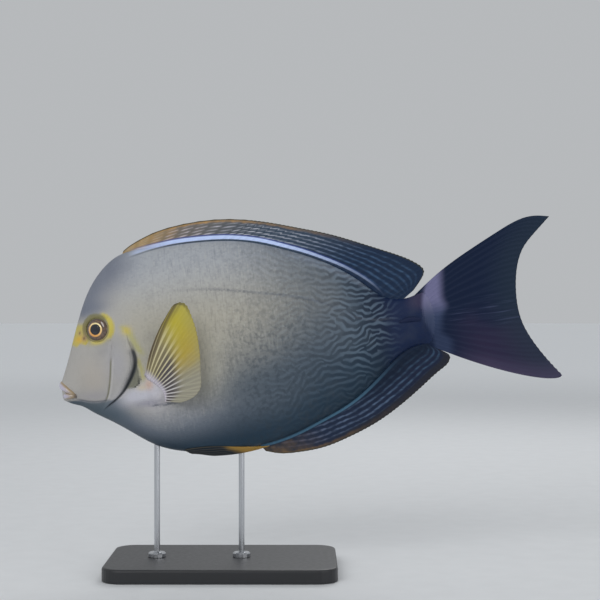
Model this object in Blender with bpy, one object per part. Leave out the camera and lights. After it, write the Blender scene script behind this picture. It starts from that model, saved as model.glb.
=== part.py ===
"""Yellowfin surgeonfish, a still life-size display model on a plain stand with two rods.

The fish is drawn in its own frame, in millimetres: u runs from the snout to the tail, v up the flank and
y out to the fish's right. Each flank is a height over (u, v), so whatever sits on the body asks its flank
function how far out the skin is there. An empty then turns the fish nose down and lifts it over its base.
"""

import math

import bmesh
import bpy
import numpy as np
from mathutils import Vector

MM = 0.001
GAP = 0.3

# Where the fish hangs over the base: the pitch of its axis, and the place of its frame's zero point.
NOSE_DOWN = math.radians(8)
SNOUT_X = -229.5
SNOUT_Z = 182.7

# The body, drawn with a few points of its outlines.
BACK_POINTS = [
    (4, -13.5), (9, -3), (17, 16), (26, 38), (34, 55), (44, 70.5), (55, 82), (68, 90.5), (82, 94),
    (103, 94.2), (127, 94.1), (153, 92.8), (181, 88.8), (208, 80.3), (233, 69.8), (251, 60.8),
    (267, 50.6), (280, 40.2), (290, 30.6), (298, 23.6), (309, 18.6), (322, 17.6), (338, 22.6), (352, 29.5),
]
BELLY_POINTS = [
    (4, -31), (11, -35), (20, -38.8), (27, -44), (42, -54.2), (58, -65.8), (78, -80.6), (99, -89.6),
    (121, -94), (152, -96), (179, -94.4), (206, -88.8), (229, -80.6), (255, -70), (270, -61.2),
    (284, -50.8), (295, -42), (304, -35.2), (314, -29.4), (325, -26.2), (338, -27), (352, -34.5),
]
HALF_WIDTH_POINTS = [
    (4, 6.6), (12, 9.6), (26, 14.8), (44, 21), (62, 25.8), (82, 28.8), (106, 30), (136, 29.6),
    (172, 27.2), (206, 23.2), (240, 17.8), (270, 13), (295, 9.6), (315, 7.6), (330, 6.2), (352, 3.4),
]
WIDEST_POINTS = [(4, -23), (20, -16), (44, -5), (72, 2), (110, 3), (180, 0), (250, -4), (300, -8), (352, -3)]
BACK_FULLNESS = 1.8
BELLY_FULLNESS = 2.1
SNOUT_U = 4
STALK_U = 292

# Lines down the flank: the fold ahead of the gill cover, and the gill opening from nape to throat.
FOLD_POINTS = [
    (-75, 27), (-50, 33), (-40, 39.5), (-34, 44), (-26, 47.6), (-14, 50.8), (0, 53.4), (20, 57), (55, 62),
    (110, 67),
]
GILL_POINTS = [
    (-75, 33), (-56, 35.5), (-47, 38), (-41, 43), (-37.5, 48.5), (-33, 55.2), (-25, 63), (-15, 69.6),
    (-6, 73.6), (4, 73.6), (13, 71.5), (30, 70.5), (60, 73.5), (110, 79),
]
GILL_COVER_TOP = 19
GILL_COVER_FOOT = -37.5
GILL_COVER_THICK = 3.2

EYE_U, EYE_V = 44.3, 28.4
EYE_RADIUS = 12.4
EYE_DEPTH = 8.6
EYE_SUNK = 4.7

MOUTH_CORNER = (16.5, -28.2)
SCALPEL_LENGTH = 19
SCALPEL_U, SCALPEL_V = 321, -3

SIDE_POINTS = 18
LEFT, RIGHT = -1, 1
SIDES = {"left": LEFT, "right": RIGHT}


def spline(points):
    """The smooth curve through (position, value) points, as a function of position."""
    x, y = np.array(points, float).T
    step = np.diff(x)
    system = np.eye(len(x))
    right = np.zeros(len(x))
    for i in range(1, len(x) - 1):
        system[i, i - 1 : i + 2] = step[i - 1], 2 * (step[i - 1] + step[i]), step[i]
        right[i] = 6 * ((y[i + 1] - y[i]) / step[i] - (y[i] - y[i - 1]) / step[i - 1])
    bend = np.linalg.solve(system, right)

    def value(at):
        at = np.clip(at, x[0], x[-1])
        i = np.clip(np.searchsorted(x, at, side="right") - 1, 0, len(x) - 2)
        b = (at - x[i]) / step[i]
        a = 1 - b
        curve = ((a**3 - a) * bend[i] + (b**3 - b) * bend[i + 1]) * step[i] ** 2 / 6
        return a * y[i] + b * y[i + 1] + curve

    return value


def path(points):
    """The smooth curve through points of a plane or of space, as a function of the share of its length."""
    points = np.array(points, float)
    length = np.append(0, np.cumsum(np.linalg.norm(np.diff(points, axis=0), axis=1)))
    share = length / length[-1]
    lines = [spline(list(zip(share, axis))) for axis in points.T]
    return lambda at: np.stack([line(np.asarray(at, float)) for line in lines], axis=-1)


back = spline(BACK_POINTS)
belly = spline(BELLY_POINTS)
half_width = spline(HALF_WIDTH_POINTS)
widest = spline(WIDEST_POINTS)
fold_line = spline(FOLD_POINTS)
gill_line = spline(GILL_POINTS)


def bump(distance, reach):
    return np.exp(-((distance / reach) ** 2))


def ramp(value, start, end):
    share = np.clip((value - start) / (end - start), 0, 1)
    return share * share * (3 - 2 * share)


def plain_flank(u, v):
    """How far the smooth body reaches out from its middle plane."""
    middle = widest(u)
    above = v >= middle
    edge = np.where(above, back(u), belly(u))
    rise = np.clip((v - middle) / (edge - middle), 0, 1)
    full = np.where(above, BACK_FULLNESS, BELLY_FULLNESS)
    return half_width(u) * (1 - rise**full) ** (1 / full)


def head_flank(u, v):
    """The head's side: the orbit's rim, the cheek, the fold ahead of the gill cover and the cover's swell."""
    smooth = plain_flank(u, v)
    from_eye = np.hypot(u - EYE_U, v - EYE_V)
    rim = 1.1 * bump(from_eye - EYE_RADIUS, 2.4)
    cheek = 1.2 * bump(np.hypot((u - 33) / 15, (v + 12) / 15), 1)
    along = ramp(v, -42, -34) * (1 - ramp(v, 8, 24))
    fold = -0.9 * bump(u - fold_line(v), 1.6) * along
    cover = 1.7 * ramp(u, fold_line(v), gill_line(v)) * ramp(v, -46, -34) * (1 - ramp(v, 10, 26))
    return smooth + (rim + cheek + fold + cover) * np.sqrt(smooth / half_width(u))


def trunk_flank(u, v):
    """The trunk's side: the groove of the gill opening, the breast behind it and the pad of the side fin."""
    smooth = plain_flank(u, v)
    along = ramp(v, -44, -36) * (1 - ramp(v, 8, 16))
    behind = u - gill_line(v)
    groove = -2.4 * bump(behind - 0.6, 2.0) * along
    pad = 1.8 * (1 - ramp(np.hypot((u - 89.5) / 9.5, (v + 29) / 17), 0.55, 1.05))
    return smooth + (groove + pad) * np.sqrt(smooth / half_width(u))


def section(line, side_height, count=SIDE_POINTS):
    """The closed ring where the body is cut along u = line(v): up its left side, down its right."""

    def meet(outline, low, high):
        for _ in range(40):
            middle = (low + high) / 2
            if middle > outline(line(middle)):
                high = middle
            else:
                low = middle
        return (low + high) / 2

    foot, crest = meet(belly, -110, -20), meet(back, -20, 110)
    turn = np.linspace(-math.pi / 2, math.pi / 2, count + 1)
    middle = np.clip(widest(line(0.0)), foot + 1, crest - 1)
    v = middle + np.where(turn > 0, crest - middle, middle - foot) * np.sin(turn)
    u = line(v)
    out = side_height(u, v)
    out[[0, -1]] = 0
    left = np.stack([u, -out, v], axis=1)
    right = np.stack([u, out, v], axis=1)
    return np.concatenate([left, right[-2:0:-1]])


def tube_faces(rings, count):
    """Quads between neighbouring rings of one size."""
    return [
        (r * count + j, r * count + (j + 1) % count, (r + 1) * count + (j + 1) % count, (r + 1) * count + j)
        for r in range(rings - 1)
        for j in range(count)
    ]


def end_faces(start, count):
    """A body section's end, as strips straight across from its left side to its right."""
    half = count // 2
    ring = [start + j for j in range(count)]
    strips = [(ring[half - 1], ring[half], ring[half + 1]), (ring[1], ring[0], ring[-1])]
    for j in range(1, half - 1):
        strips.append((ring[j], ring[j + 1], ring[count - j - 1], ring[count - j]))
    return strips


def material(name, colour, roughness=0.4, metallic=0.0):
    finish = bpy.data.materials.new(name)
    finish.use_nodes = True
    finish.diffuse_color = (*colour, 1)
    shader = finish.node_tree.nodes["Principled BSDF"]
    shader.inputs["Base Color"].default_value = (*colour, 1)
    shader.inputs["Roughness"].default_value = roughness
    shader.inputs["Metallic"].default_value = metallic
    return finish


def solid(name, points, faces, finish):
    """An object with one closed mesh, its points given in millimetres, its faces turned outwards."""
    mesh = bpy.data.meshes.new(name)
    mesh.from_pydata([tuple(p) for p in np.asarray(points, float) * MM], [], faces)
    return wrap(name, mesh, finish)


def wrap(name, mesh, finish):
    build = bmesh.new()
    build.from_mesh(mesh)
    bmesh.ops.recalc_face_normals(build, faces=build.faces)
    build.to_mesh(mesh)
    build.free()
    mesh.shade_smooth()
    mesh.set_sharp_from_angle(angle=math.radians(40))
    obj = bpy.data.objects.new(name, mesh)
    obj.data.materials.append(finish)
    bpy.context.scene.collection.objects.link(obj)
    return obj


def keep_largest(mesh):
    """Deletes all but the largest closed surface of a mesh."""
    build = bmesh.new()
    build.from_mesh(mesh)
    loose = set(build.faces)
    surfaces = []
    while loose:
        found = [loose.pop()]
        for face in found:
            beside = {other for edge in face.edges for other in edge.link_faces} & loose
            found.extend(beside)
            loose -= beside
        surfaces.append(found)
    surfaces.sort(key=lambda faces: sum(face.calc_area() for face in faces))
    rest = [face for faces in surfaces[:-1] for face in faces]
    bmesh.ops.delete(build, geom=rest, context="FACES")
    build.to_mesh(mesh)
    build.free()


def cut(target, cutter):
    """Takes the cutter out of the target and removes the cutter."""
    cutter.hide_render = True
    cutter.display_type = "WIRE"
    boolean = target.modifiers.new("Cut", "BOOLEAN")
    boolean.operation = "DIFFERENCE"
    boolean.solver = "EXACT"
    boolean.object = cutter
    graph = bpy.context.evaluated_depsgraph_get()
    mesh = bpy.data.meshes.new_from_object(target.evaluated_get(graph))
    target.modifiers.remove(boolean)
    keep_largest(mesh)
    target.data = mesh
    bpy.data.objects.remove(cutter)


def body_piece(name, lines, side_height, finish):
    """A length of the body, lofted over the sections along these lines."""
    rings = [section(line, side_height) for line in lines]
    count = len(rings[0])
    faces = tube_faces(len(rings), count)
    faces += end_faces(0, count) + end_faces((len(rings) - 1) * count, count)
    return solid(name, np.concatenate(rings), faces, finish)


def between(first, second, share):
    """The line this share of the way from one line down the flank to another."""
    return lambda v: first(v) * (1 - share) + second(v) * share


def beside(line, offset):
    """A line down the flank moved back by this offset, measured square to it."""

    def moved(v):
        slope = line(v + 0.5) - line(v - 0.5)
        return line(v) + offset * np.sqrt(1 + slope * slope)

    return moved


def upright(u):
    return lambda v: u + 0 * np.asarray(v, float)


def make_head(finish):
    snout = upright(SNOUT_U)
    fold, rear = fold_line, beside(gill_line, -GAP)
    lines = [between(snout, fold, share) for share in np.linspace(0, 1, 17)]
    lines += [between(fold, rear, share) for share in (0.1, 0.28, 0.46, 0.64, 0.82, 1)]
    return body_piece("head", lines, head_flank, finish)


def make_trunk(finish):
    shoulder, stalk = upright(112), upright(STALK_U)
    lines = [beside(gill_line, offset) for offset in (0, 1.4, 2.8, 4.6)]
    lines += [between(lines[3], shoulder, share) for share in (0.14, 0.28, 0.42, 0.56, 0.7, 0.85, 1)]
    lines += [between(shoulder, stalk, share) for share in np.linspace(0, 1, 26)[1:]]
    return body_piece("trunk", lines, trunk_flank, finish)


def stalk_end(v):
    """The rounded rear edge of the tail stalk, where the tail fin's rays start."""
    return 346.5 - 5.5 * ((v + 1) / 25) ** 2


def make_tail_stalk(finish):
    start = upright(STALK_U + GAP)
    lines = [between(start, stalk_end, share) for share in np.linspace(0, 1, 11)]
    return body_piece("tail_stalk", lines, plain_flank, finish)


def cover_patch(name, side, finish, front, rear, top, foot, inner, outer):
    """A shell over part of the head's side, between two lines and two heights, inner and outer from the skin."""
    rows, columns = 12, 6
    layers = []
    for height in (inner, outer):
        for v in np.linspace(top, foot, rows + 1):
            u = np.linspace(front(v), rear(v), columns + 1)
            out = head_flank(np.minimum(u, gill_line(v)), v) + height
            layers.append(np.stack([u, side * out, np.full_like(u, v)], axis=1))
    points = np.concatenate(layers)
    size = (rows + 1) * (columns + 1)
    faces = []
    for r in range(rows):
        for c in range(columns):
            a = r * (columns + 1) + c
            quad = (a, a + 1, a + columns + 2, a + columns + 1)
            faces += [quad, tuple(size + i for i in quad)]
    edge = [c for c in range(columns + 1)]
    edge += [r * (columns + 1) + columns for r in range(1, rows + 1)]
    edge += [rows * (columns + 1) + c for c in range(columns - 1, -1, -1)]
    edge += [r * (columns + 1) for r in range(rows - 1, 0, -1)]
    for a, b in zip(edge, edge[1:] + edge[:1]):
        faces.append((a, b, size + b, size + a))
    return solid(name, points, faces, finish)


def make_gill_cover(name, side, finish, head):
    rear = beside(gill_line, -GAP)
    cover = cover_patch(
        f"gill_cover_{name}", side, finish, beside(fold_line, GAP / 2), rear,
        GILL_COVER_TOP, GILL_COVER_FOOT, -GILL_COVER_THICK, 0,
    )
    cutter = cover_patch(
        "cutter", side, finish, beside(fold_line, -GAP / 2), beside(gill_line, 3),
        GILL_COVER_TOP + GAP, GILL_COVER_FOOT - GAP, -GILL_COVER_THICK - GAP, 6,
    )
    cut(head, cutter)
    return cover


def ellipsoid(name, radii, finish, rings=8, around=16):
    """A closed ellipsoid about its own middle, with its poles on y."""
    points = [(0, -radii[1], 0)]
    for i in range(1, rings):
        polar = math.pi * i / rings
        for j in range(around):
            turn = 2 * math.pi * j / around
            points.append((
                radii[0] * math.sin(polar) * math.cos(turn),
                -radii[1] * math.cos(polar),
                radii[2] * math.sin(polar) * math.sin(turn),
            ))
    points.append((0, radii[1], 0))
    last = len(points) - 1
    faces = []
    for j in range(around):
        k = (j + 1) % around
        faces.append((0, 1 + j, 1 + k))
        faces.append((last, 1 + (rings - 2) * around + k, 1 + (rings - 2) * around + j))
        for i in range(rings - 2):
            faces.append((1 + i * around + j, 1 + (i + 1) * around + j, 1 + (i + 1) * around + k, 1 + i * around + k))
    return solid(name, points, faces, finish)


def outward(u, v, side, reach=6):
    """The direction square to the smooth skin at a place on one side."""
    along = (plain_flank(u + reach, v) - plain_flank(u - reach, v)) / (2 * reach)
    up = (plain_flank(u, v + reach) - plain_flank(u, v - reach)) / (2 * reach)
    return Vector((-along, side, -up)).normalized()


def set_on_skin(obj, u, v, side, depth):
    """Places an object on the skin, its own -y axis pointing out, its middle this deep."""
    out = outward(u, v, side)
    place = Vector((u, side * float(plain_flank(u, v)), v)) - out * depth
    obj.location = place * MM
    obj.rotation_euler = Vector((0, -1, 0)).rotation_difference(out).to_euler()
    bpy.context.view_layer.update()


def make_eye(name, side, finish, head):
    eye = ellipsoid(f"eye_{name}", (EYE_RADIUS, EYE_DEPTH, EYE_RADIUS), finish)
    set_on_skin(eye, EYE_U, EYE_V, side, EYE_SUNK)
    room = ellipsoid("cutter", (EYE_RADIUS + GAP, EYE_DEPTH + GAP, EYE_RADIUS + GAP), finish)
    set_on_skin(room, EYE_U, EYE_V, side, EYE_SUNK)
    cut(head, room)
    return eye


def drill_nostrils(side, finish, head):
    for u, v, radius in ((27.2, 27, 0.9), (31, 21.8, 1.3)):
        pit = ellipsoid("cutter", (radius, 1.4, radius), finish, rings=6, around=8)
        set_on_skin(pit, u, v, side, 0.2)
        cut(head, pit)


def lip(name, middle, radii, finish, swell=0.0):
    """One lip: a fleshy roll from the left corner of the mouth round the snout to the right one."""
    corner_u, corner_v = MOUTH_CORNER
    around, steps, width = 8, 14, 9.4
    points = []
    for i in range(steps + 1):
        turn = math.pi * i / steps
        forward = math.sin(turn)
        centre = np.array([
            corner_u + (middle[0] - corner_u) * forward**0.8,
            -width * math.cos(turn),
            corner_v + (middle[1] - corner_v) * forward**0.8,
        ])
        thick = 0.45 + 0.55 * forward**0.7
        out = np.array([-forward, -math.cos(turn) * 0.9, 0])
        out /= np.linalg.norm(out)
        for j in range(around):
            a = 2 * math.pi * j / around
            offset = out * math.cos(a) * (radii[0] * thick + swell)
            offset = offset + np.array([0, 0, 1]) * math.sin(a) * (radii[1] * thick + swell)
            points.append(centre + offset)
    faces = tube_faces(steps + 1, around)
    faces += [tuple(range(around)), tuple(range(steps * around, (steps + 1) * around))]
    return solid(name, points, faces, finish)


def make_mouth(finish, head):
    """Both lips, let into the snout, with the line of the mouth between them."""
    upper = {"middle": (5.0, -17.6), "radii": (3.9, 4.3)}
    lower = {"middle": (6.4, -26.6), "radii": (3.6, 3.5)}
    upper_lip = lip("upper_lip", finish=finish, **upper)
    lower_lip = lip("lower_lip", finish=finish, **lower)
    cut(lower_lip, lip("cutter", finish=finish, swell=GAP, **upper))
    cut(head, lip("cutter", finish=finish, swell=GAP, **upper))
    cut(head, lip("cutter", finish=finish, swell=GAP, **lower))
    return [upper_lip, lower_lip]


def scalpel_mesh(name, side, finish, swell=0.0):
    """The tail's blade, lying in its groove with its point forward."""
    count, around = 9, 6
    points = []
    for i in range(count):
        share = i / (count - 1)
        u = SCALPEL_U + SCALPEL_LENGTH * (share - 0.5) + swell * (2 * share - 1)
        tall = 2.1 * (0.25 + 0.75 * math.sin(math.pi * (0.08 + 0.72 * share))) + swell
        thick = 0.9 * (0.35 + 0.65 * share) + swell
        v = SCALPEL_V + 1.2 * math.sin(math.pi * share)
        out = float(plain_flank(u, SCALPEL_V))
        for j in range(around):
            a = 2 * math.pi * j / around
            points.append((u, side * (out + math.cos(a) * thick), v + math.sin(a) * tall))
    faces = tube_faces(count, around)
    faces += [tuple(range(around)), tuple(range((count - 1) * around, count * around))]
    return solid(name, points, faces, finish)


def make_scalpel(name, side, finish, stalk):
    blade = scalpel_mesh(f"tail_blade_{name}", side, finish)
    cut(stalk, scalpel_mesh("cutter", side, finish, swell=GAP))
    return blade


def fin(name, rays, place, thickness, finish, rows=(0, 0.12, 0.3, 0.52, 0.76, 1)):
    """A fin whose rays stand up as ridges in its own surface.

    rays are the places of the rays along the base, from 0 to 1; place(s, t) is the fin's middle surface
    and thickness(s, t) its half thicknesses (along a ray, between two rays)."""
    columns = []
    for first, second in zip(rays, rays[1:]):
        columns += [(first, True), ((first + second) / 2, False)]
    columns.append((rays[-1], True))
    s = np.array([c[0] for c in columns])[:, None]
    on_ray = np.array([c[1] for c in columns])[:, None]
    t = np.array(rows, float)[None, :]
    t = np.where(on_ray, t, t * 0.985)
    middle = place(s, t)
    step = 0.01
    along = place(np.clip(s + step, 0, 1), t) - place(np.clip(s - step, 0, 1), t)
    across = place(s, np.clip(t + step, 0, 1)) - place(s, np.clip(t - step, 0, 1))
    normal = np.cross(along, across)
    normal /= np.linalg.norm(normal, axis=-1, keepdims=True)
    ridge, web = thickness(s, t)
    half = np.where(on_ray, ridge, web)[..., None]
    faces_of = [middle + normal * half, middle - normal * half]
    count, length = len(columns), len(rows)
    points = np.concatenate([side.reshape(-1, 3) for side in faces_of])
    size = count * length
    faces = []
    for c in range(count - 1):
        for r in range(length - 1):
            a = c * length + r
            low, high = ((a, a + 1, a + length + 1), (a, a + length + 1, a + length))
            if c % 2:
                low, high = ((a, a + 1, a + length), (a + 1, a + length + 1, a + length))
            for triangle in (low, high):
                faces += [triangle, tuple(size + i for i in triangle[::-1])]
    edge = [r for r in range(length)]
    edge += [c * length + length - 1 for c in range(1, count)]
    edge += [(count - 1) * length + r for r in range(length - 2, -1, -1)]
    edge += [c * length for c in range(count - 2, 0, -1)]
    for a, b in zip(edge, edge[1:] + edge[:1]):
        faces += [(a, b, size + b), (a, size + b, size + a)]
    return solid(name, points, faces, finish)


def spaced(groups):
    """Places of rays along a fin's base, from groups of (count, share of the base)."""
    places = [0.0]
    for count, share in groups:
        places += [places[-1] + share * (i + 1) / count for i in range(count)][:count]
    total = places[-1]
    return [p / total for p in places]


def middle_fin(name, rays, base, margin, lean, thickness, finish):
    """A fin on the middle plane, from base(s) on the body's edge to margin(s) along the fin's free edge."""

    def place(s, t):
        root = base(s)
        tip = margin(s**lean)
        flat = root * (1 - t[..., None]) + tip * t[..., None]
        return np.stack([flat[..., 0], 0 * flat[..., 0], flat[..., 1]], axis=-1)

    return fin(name, rays, place, thickness, finish)


def make_dorsal_fin(finish):
    start, end = 73.5, 318
    margin = path([
        (75, 94.9), (80, 98.1), (90, 102.6), (102, 106.8), (121, 110.5), (143, 112), (166, 111.1), (189, 107.3),
        (211, 101.4), (235, 93.4), (262, 83.8), (284, 74), (306, 63.6), (323, 55.2), (335, 47.4),
        (340.6, 40), (337, 32.6), (328.5, 23.4),
    ])
    rays = spaced([(8, 0.36), (26, 0.64)])

    def base(s):
        u = start + (end - start) * s
        return np.stack([u, back(u) + GAP * 1.3], axis=-1)

    def thickness(s, t):
        spines = 1 - ramp(s, 0.3, 0.42)
        ridge = (0.95 + 0.35 * spines) * (1 - 0.6 * t)
        web = 0.42 - 0.12 * t
        return ridge, web

    return middle_fin("dorsal_fin", rays, base, margin, 0.95, thickness, finish)


def make_anal_fin(finish):
    start, end = 172, 333
    margin = path([
        (177, -101.2), (190, -105.2), (204, -106.3), (230, -105), (253, -99.2), (277, -90.7),
        (302, -77.8), (328, -60.8), (343, -50.8), (352, -43.6), (353, -39.5), (349.5, -35.8), (341.5, -29.8),
    ])
    rays = spaced([(3, 0.1), (24, 0.9)])

    def base(s):
        u = start + (end - start) * s
        return np.stack([u, belly(u) - GAP * 1.3], axis=-1)

    def thickness(s, t):
        spines = 1 - ramp(s, 0.06, 0.14)
        ridge = (0.95 + 0.3 * spines) * (1 - 0.6 * t)
        web = 0.42 - 0.12 * t
        return ridge, web

    return middle_fin("anal_fin", rays, base, margin, 0.95, thickness, finish)


# Turns the tail rays' bow from a share of its height to a curve that stays full towards the tips.
TIP_HEAVY = 2.64


def make_tail_fin(finish):
    """The lunate tail fin, its outer rays bowed outwards along the two lobes."""
    margin = path([
        (460.6, 74), (445, 61.4), (431.5, 47.4), (424, 31.6), (420.4, 14), (419.6, -3), (421.6, -18),
        (428, -34.6), (439, -53.6), (450.6, -70),
    ])
    rays = spaced([(17, 1)])
    top, foot = 24.6, -28.4
    upper_bow, lower_bow = 11.5, 8.5

    def place(s, t):
        v = top + (foot - top) * s
        root = np.stack([stalk_end(v) + GAP * 1.5, v], axis=-1)
        tip = margin(s)
        flat = root * (1 - t[..., None]) + tip * t[..., None]
        bow = upper_bow * np.clip(1 - 2 * s, 0, 1) ** 1.3 - lower_bow * np.clip(2 * s - 1, 0, 1) ** 1.3
        rise = TIP_HEAVY * t**0.9 * np.sqrt(np.clip(1 - t, 0, 1)) * bow
        return np.stack([flat[..., 0], 0 * flat[..., 0], flat[..., 1] + rise], axis=-1)

    def thickness(s, t):
        edge = (2 * s - 1) ** 4
        root = 2.3 * (1 - edge) * (1 - ramp(t, 0, 0.35))
        ridge = 1.2 - 0.75 * t + root
        web = 0.55 - 0.22 * t + root
        return ridge, web

    return fin("tail_fin", rays, place, thickness, finish)


def make_pectoral_fin(name, side, finish):
    """The side fin: a flap on the pad behind the gill opening, fanning up and back and out from the body."""
    root_line = path([(83.5, -14), (90.5, -21.5), (95.5, -28), (98, -35.5), (97, -43)])
    margin = path([
        (113, 34), (121.5, 41.5), (127.5, 40.5), (131.6, 32), (134, 20), (134.8, 6), (134.2, -8),
        (132.6, -22), (129.5, -36), (121, -42.6), (110, -45.4),
    ])
    rays = spaced([(15, 1)])
    flap = 0.07
    flare, curl = 0.62, 26
    lead_bow, bow_way = 2.8, np.array([-0.85, 0.5])
    ray_half, lead_half = 0.95, 1.25

    def place(s, t):
        root = root_line(s)
        tip = margin(s)
        reach = tip - root
        length = np.linalg.norm(reach, axis=-1)
        along = (t - flap) / (1 - flap)
        flat = root + reach * np.where(along < 0, along * 0.9, along)[..., None]
        bow = lead_bow * 4 * np.clip(along, 0, 1) * np.clip(1 - along, 0, 1) * (1 - ramp(s, 0, 0.6))
        flat = flat + bow[..., None] * bow_way
        free = np.maximum(along, 0) * length
        skin = trunk_flank(flat[..., 0], flat[..., 1])
        base = trunk_flank(root[..., 0], root[..., 1])
        lift = flare * free - free**2 / (2 * curl * 8)
        out = np.where(along > 0, base + lift, skin) + GAP + lead_half + 0.3
        return np.stack([flat[..., 0], side * out, flat[..., 1]], axis=-1)

    def thickness(s, t):
        lead = 1 - ramp(s, 0.02, 0.16)
        ridge = (ray_half + (lead_half - ray_half) * lead) * (1 - 0.6 * t)
        web = 0.5 - 0.2 * t
        return ridge, web

    return fin(f"pectoral_fin_{name}", rays, place, thickness, finish, rows=(0, flap, 0.2, 0.4, 0.62, 0.82, 1))


def underside(u, y):
    """How low the body reaches at a place seen from below."""
    low, high = belly(u), widest(u)
    for _ in range(40):
        middle = (low + high) / 2
        outside = trunk_flank(u, middle) < abs(y)
        low, high = np.where(outside, middle, low), np.where(outside, high, middle)
    return (low + high) / 2


def make_pelvic_fin(name, side, finish):
    """The belly fin, folded back along the belly beside its pair, its spine lowest."""
    rays = spaced([(5, 1)])
    root_u, length = 106, 70
    spine_y, fan_y = 4.3, 12.5

    def place(s, t):
        u = root_u + 5 * (1 - s) + (length - 14 * s) * t
        y = spine_y + (fan_y - spine_y) * s * (0.55 + 0.45 * np.sin(math.pi * np.clip(t, 0, 1) ** 0.8))
        y = y - 1.2 * t * s
        drop = GAP + 1.5 + 2.6 * (1 - s) * np.sin(math.pi * np.clip(0.15 + 0.6 * t, 0, 1)) * ramp(t, 0.03, 0.3)
        return np.stack([u, side * y, underside(u, y) - drop], axis=-1)

    def thickness(s, t):
        lead = 1 - ramp(s, 0, 0.2)
        ridge = (0.85 + 0.35 * lead) * (1 - 0.55 * t)
        web = 0.45 - 0.15 * t
        return ridge, web

    return fin(f"pelvic_fin_{name}", rays, place, thickness, finish, rows=(0, 0.1, 0.3, 0.5, 0.75, 1))


BASE_LENGTH, BASE_WIDTH, BASE_THICK = 205, 130, 12
BASE_CORNER = 18
BASE_EDGE = 2
BASE_X = -79
ROD_RADIUS = 2.6
ROD_FOOT_RADIUS, ROD_FOOT_HEIGHT = 8, 4
ROD_X = {"front": -138, "rear": -62}


def make_base(finish):
    build = bmesh.new()
    bmesh.ops.create_cube(build, size=1)
    size = Vector((BASE_LENGTH, BASE_WIDTH, BASE_THICK)) * MM
    bmesh.ops.scale(build, vec=size, verts=build.verts)
    bmesh.ops.translate(build, vec=(0, 0, size.z / 2), verts=build.verts)
    corners = [e for e in build.edges if abs(e.verts[0].co.z - e.verts[1].co.z) > size.z / 2]
    bmesh.ops.bevel(build, geom=corners, offset=BASE_CORNER * MM, segments=8, profile=0.5, affect="EDGES")
    rim = [e for e in build.edges if min(v.co.z for v in e.verts) > size.z * 0.9]
    rim = [e for e in rim if len({f.normal.z > 0.5 for f in e.link_faces}) == 2]
    bmesh.ops.bevel(build, geom=rim, offset=BASE_EDGE * MM, segments=3, profile=0.5, affect="EDGES")
    mesh = bpy.data.meshes.new("stand_base")
    build.to_mesh(mesh)
    build.free()
    base = wrap("stand_base", mesh, finish)
    base.location.x = BASE_X * MM
    return base


def belly_height(x, y):
    """The height over the floor of the body's underside above a place on the base."""
    cosine, sine = math.cos(NOSE_DOWN), math.sin(NOSE_DOWN)
    v = -90.0
    for _ in range(30):
        u = (x - SNOUT_X + v * sine) / cosine
        v = float(underside(u, y))
    return SNOUT_Z + u * sine + v * cosine


def make_rod(name, x, finish):
    """A turned rod with a round foot, its top shaped to the belly."""
    around = 14
    foot = BASE_THICK + GAP
    profile = [(ROD_FOOT_RADIUS, foot), (ROD_FOOT_RADIUS, foot + ROD_FOOT_HEIGHT - 1)]
    profile += [(ROD_FOOT_RADIUS - 1, foot + ROD_FOOT_HEIGHT), (ROD_RADIUS + 1, foot + ROD_FOOT_HEIGHT)]
    profile += [(ROD_RADIUS, foot + ROD_FOOT_HEIGHT + 1)]
    points = []
    for radius, z in profile + [(ROD_RADIUS, None)]:
        for j in range(around):
            turn = 2 * math.pi * j / around
            px, py = x + radius * math.cos(turn), radius * math.sin(turn)
            height = z if z is not None else belly_height(px, py) - GAP
            points.append((px, py, height))
    faces = tube_faces(len(profile) + 1, around)
    points += [(x, 0, foot), (x, 0, belly_height(x, 0) - GAP)]
    last = len(profile) * around
    for j in range(around):
        k = (j + 1) % around
        faces += [(len(points) - 2, k, j), (len(points) - 1, last + j, last + k)]
    return solid(f"stand_rod_{name}", points, faces, finish)


def main():
    for obj in list(bpy.data.objects):
        bpy.data.objects.remove(obj)
    skin = material("skin", (0.36, 0.36, 0.33))
    face = material("face skin", (0.34, 0.34, 0.36))
    stalk_skin = material("tail stalk skin", (0.08, 0.11, 0.15))
    lips = material("lips", (0.5, 0.48, 0.55))
    iris = material("eye", (0.2, 0.12, 0.05), 0.1)
    dark_fin = material("fin", (0.05, 0.08, 0.12))
    yellow_fin = material("side fin", (0.55, 0.45, 0.1))
    bone = material("blade", (0.12, 0.12, 0.14), 0.3)
    plate = material("stand base", (0.03, 0.03, 0.035), 0.35)
    steel = material("stand rod", (0.6, 0.6, 0.62), 0.3, 1.0)

    head = make_head(face)
    trunk = make_trunk(skin)
    stalk = make_tail_stalk(stalk_skin)
    fish = [head, trunk, stalk]
    fish += make_mouth(lips, head)
    for name, side in SIDES.items():
        fish.append(make_gill_cover(name, side, face, head))
        fish.append(make_eye(name, side, iris, head))
        drill_nostrils(side, face, head)
        fish.append(make_scalpel(name, side, bone, stalk))
        fish.append(make_pectoral_fin(name, side, yellow_fin))
        fish.append(make_pelvic_fin(name, side, dark_fin))
    fish += [make_dorsal_fin(dark_fin), make_anal_fin(dark_fin), make_tail_fin(dark_fin)]

    pose = bpy.data.objects.new("fish_pose", None)
    bpy.context.scene.collection.objects.link(pose)
    pose.location = Vector((SNOUT_X, 0, SNOUT_Z)) * MM
    pose.rotation_euler = (0, -NOSE_DOWN, 0)
    for piece in fish:
        piece.parent = pose

    make_base(plate)
    for name, x in ROD_X.items():
        make_rod(name, x, steel)


main()
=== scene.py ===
# %% [markdown]
# # A yellowfin surgeonfish on its display stand
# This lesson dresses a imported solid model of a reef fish. The solids give every size and place; here
# they get one seamless skin with scales, rayed fins, moist lips, glossy eyes and a studio to stand in.
# Each step first says what the piece is on the living fish, then how and why it is made this way.

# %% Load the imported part
import math

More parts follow.
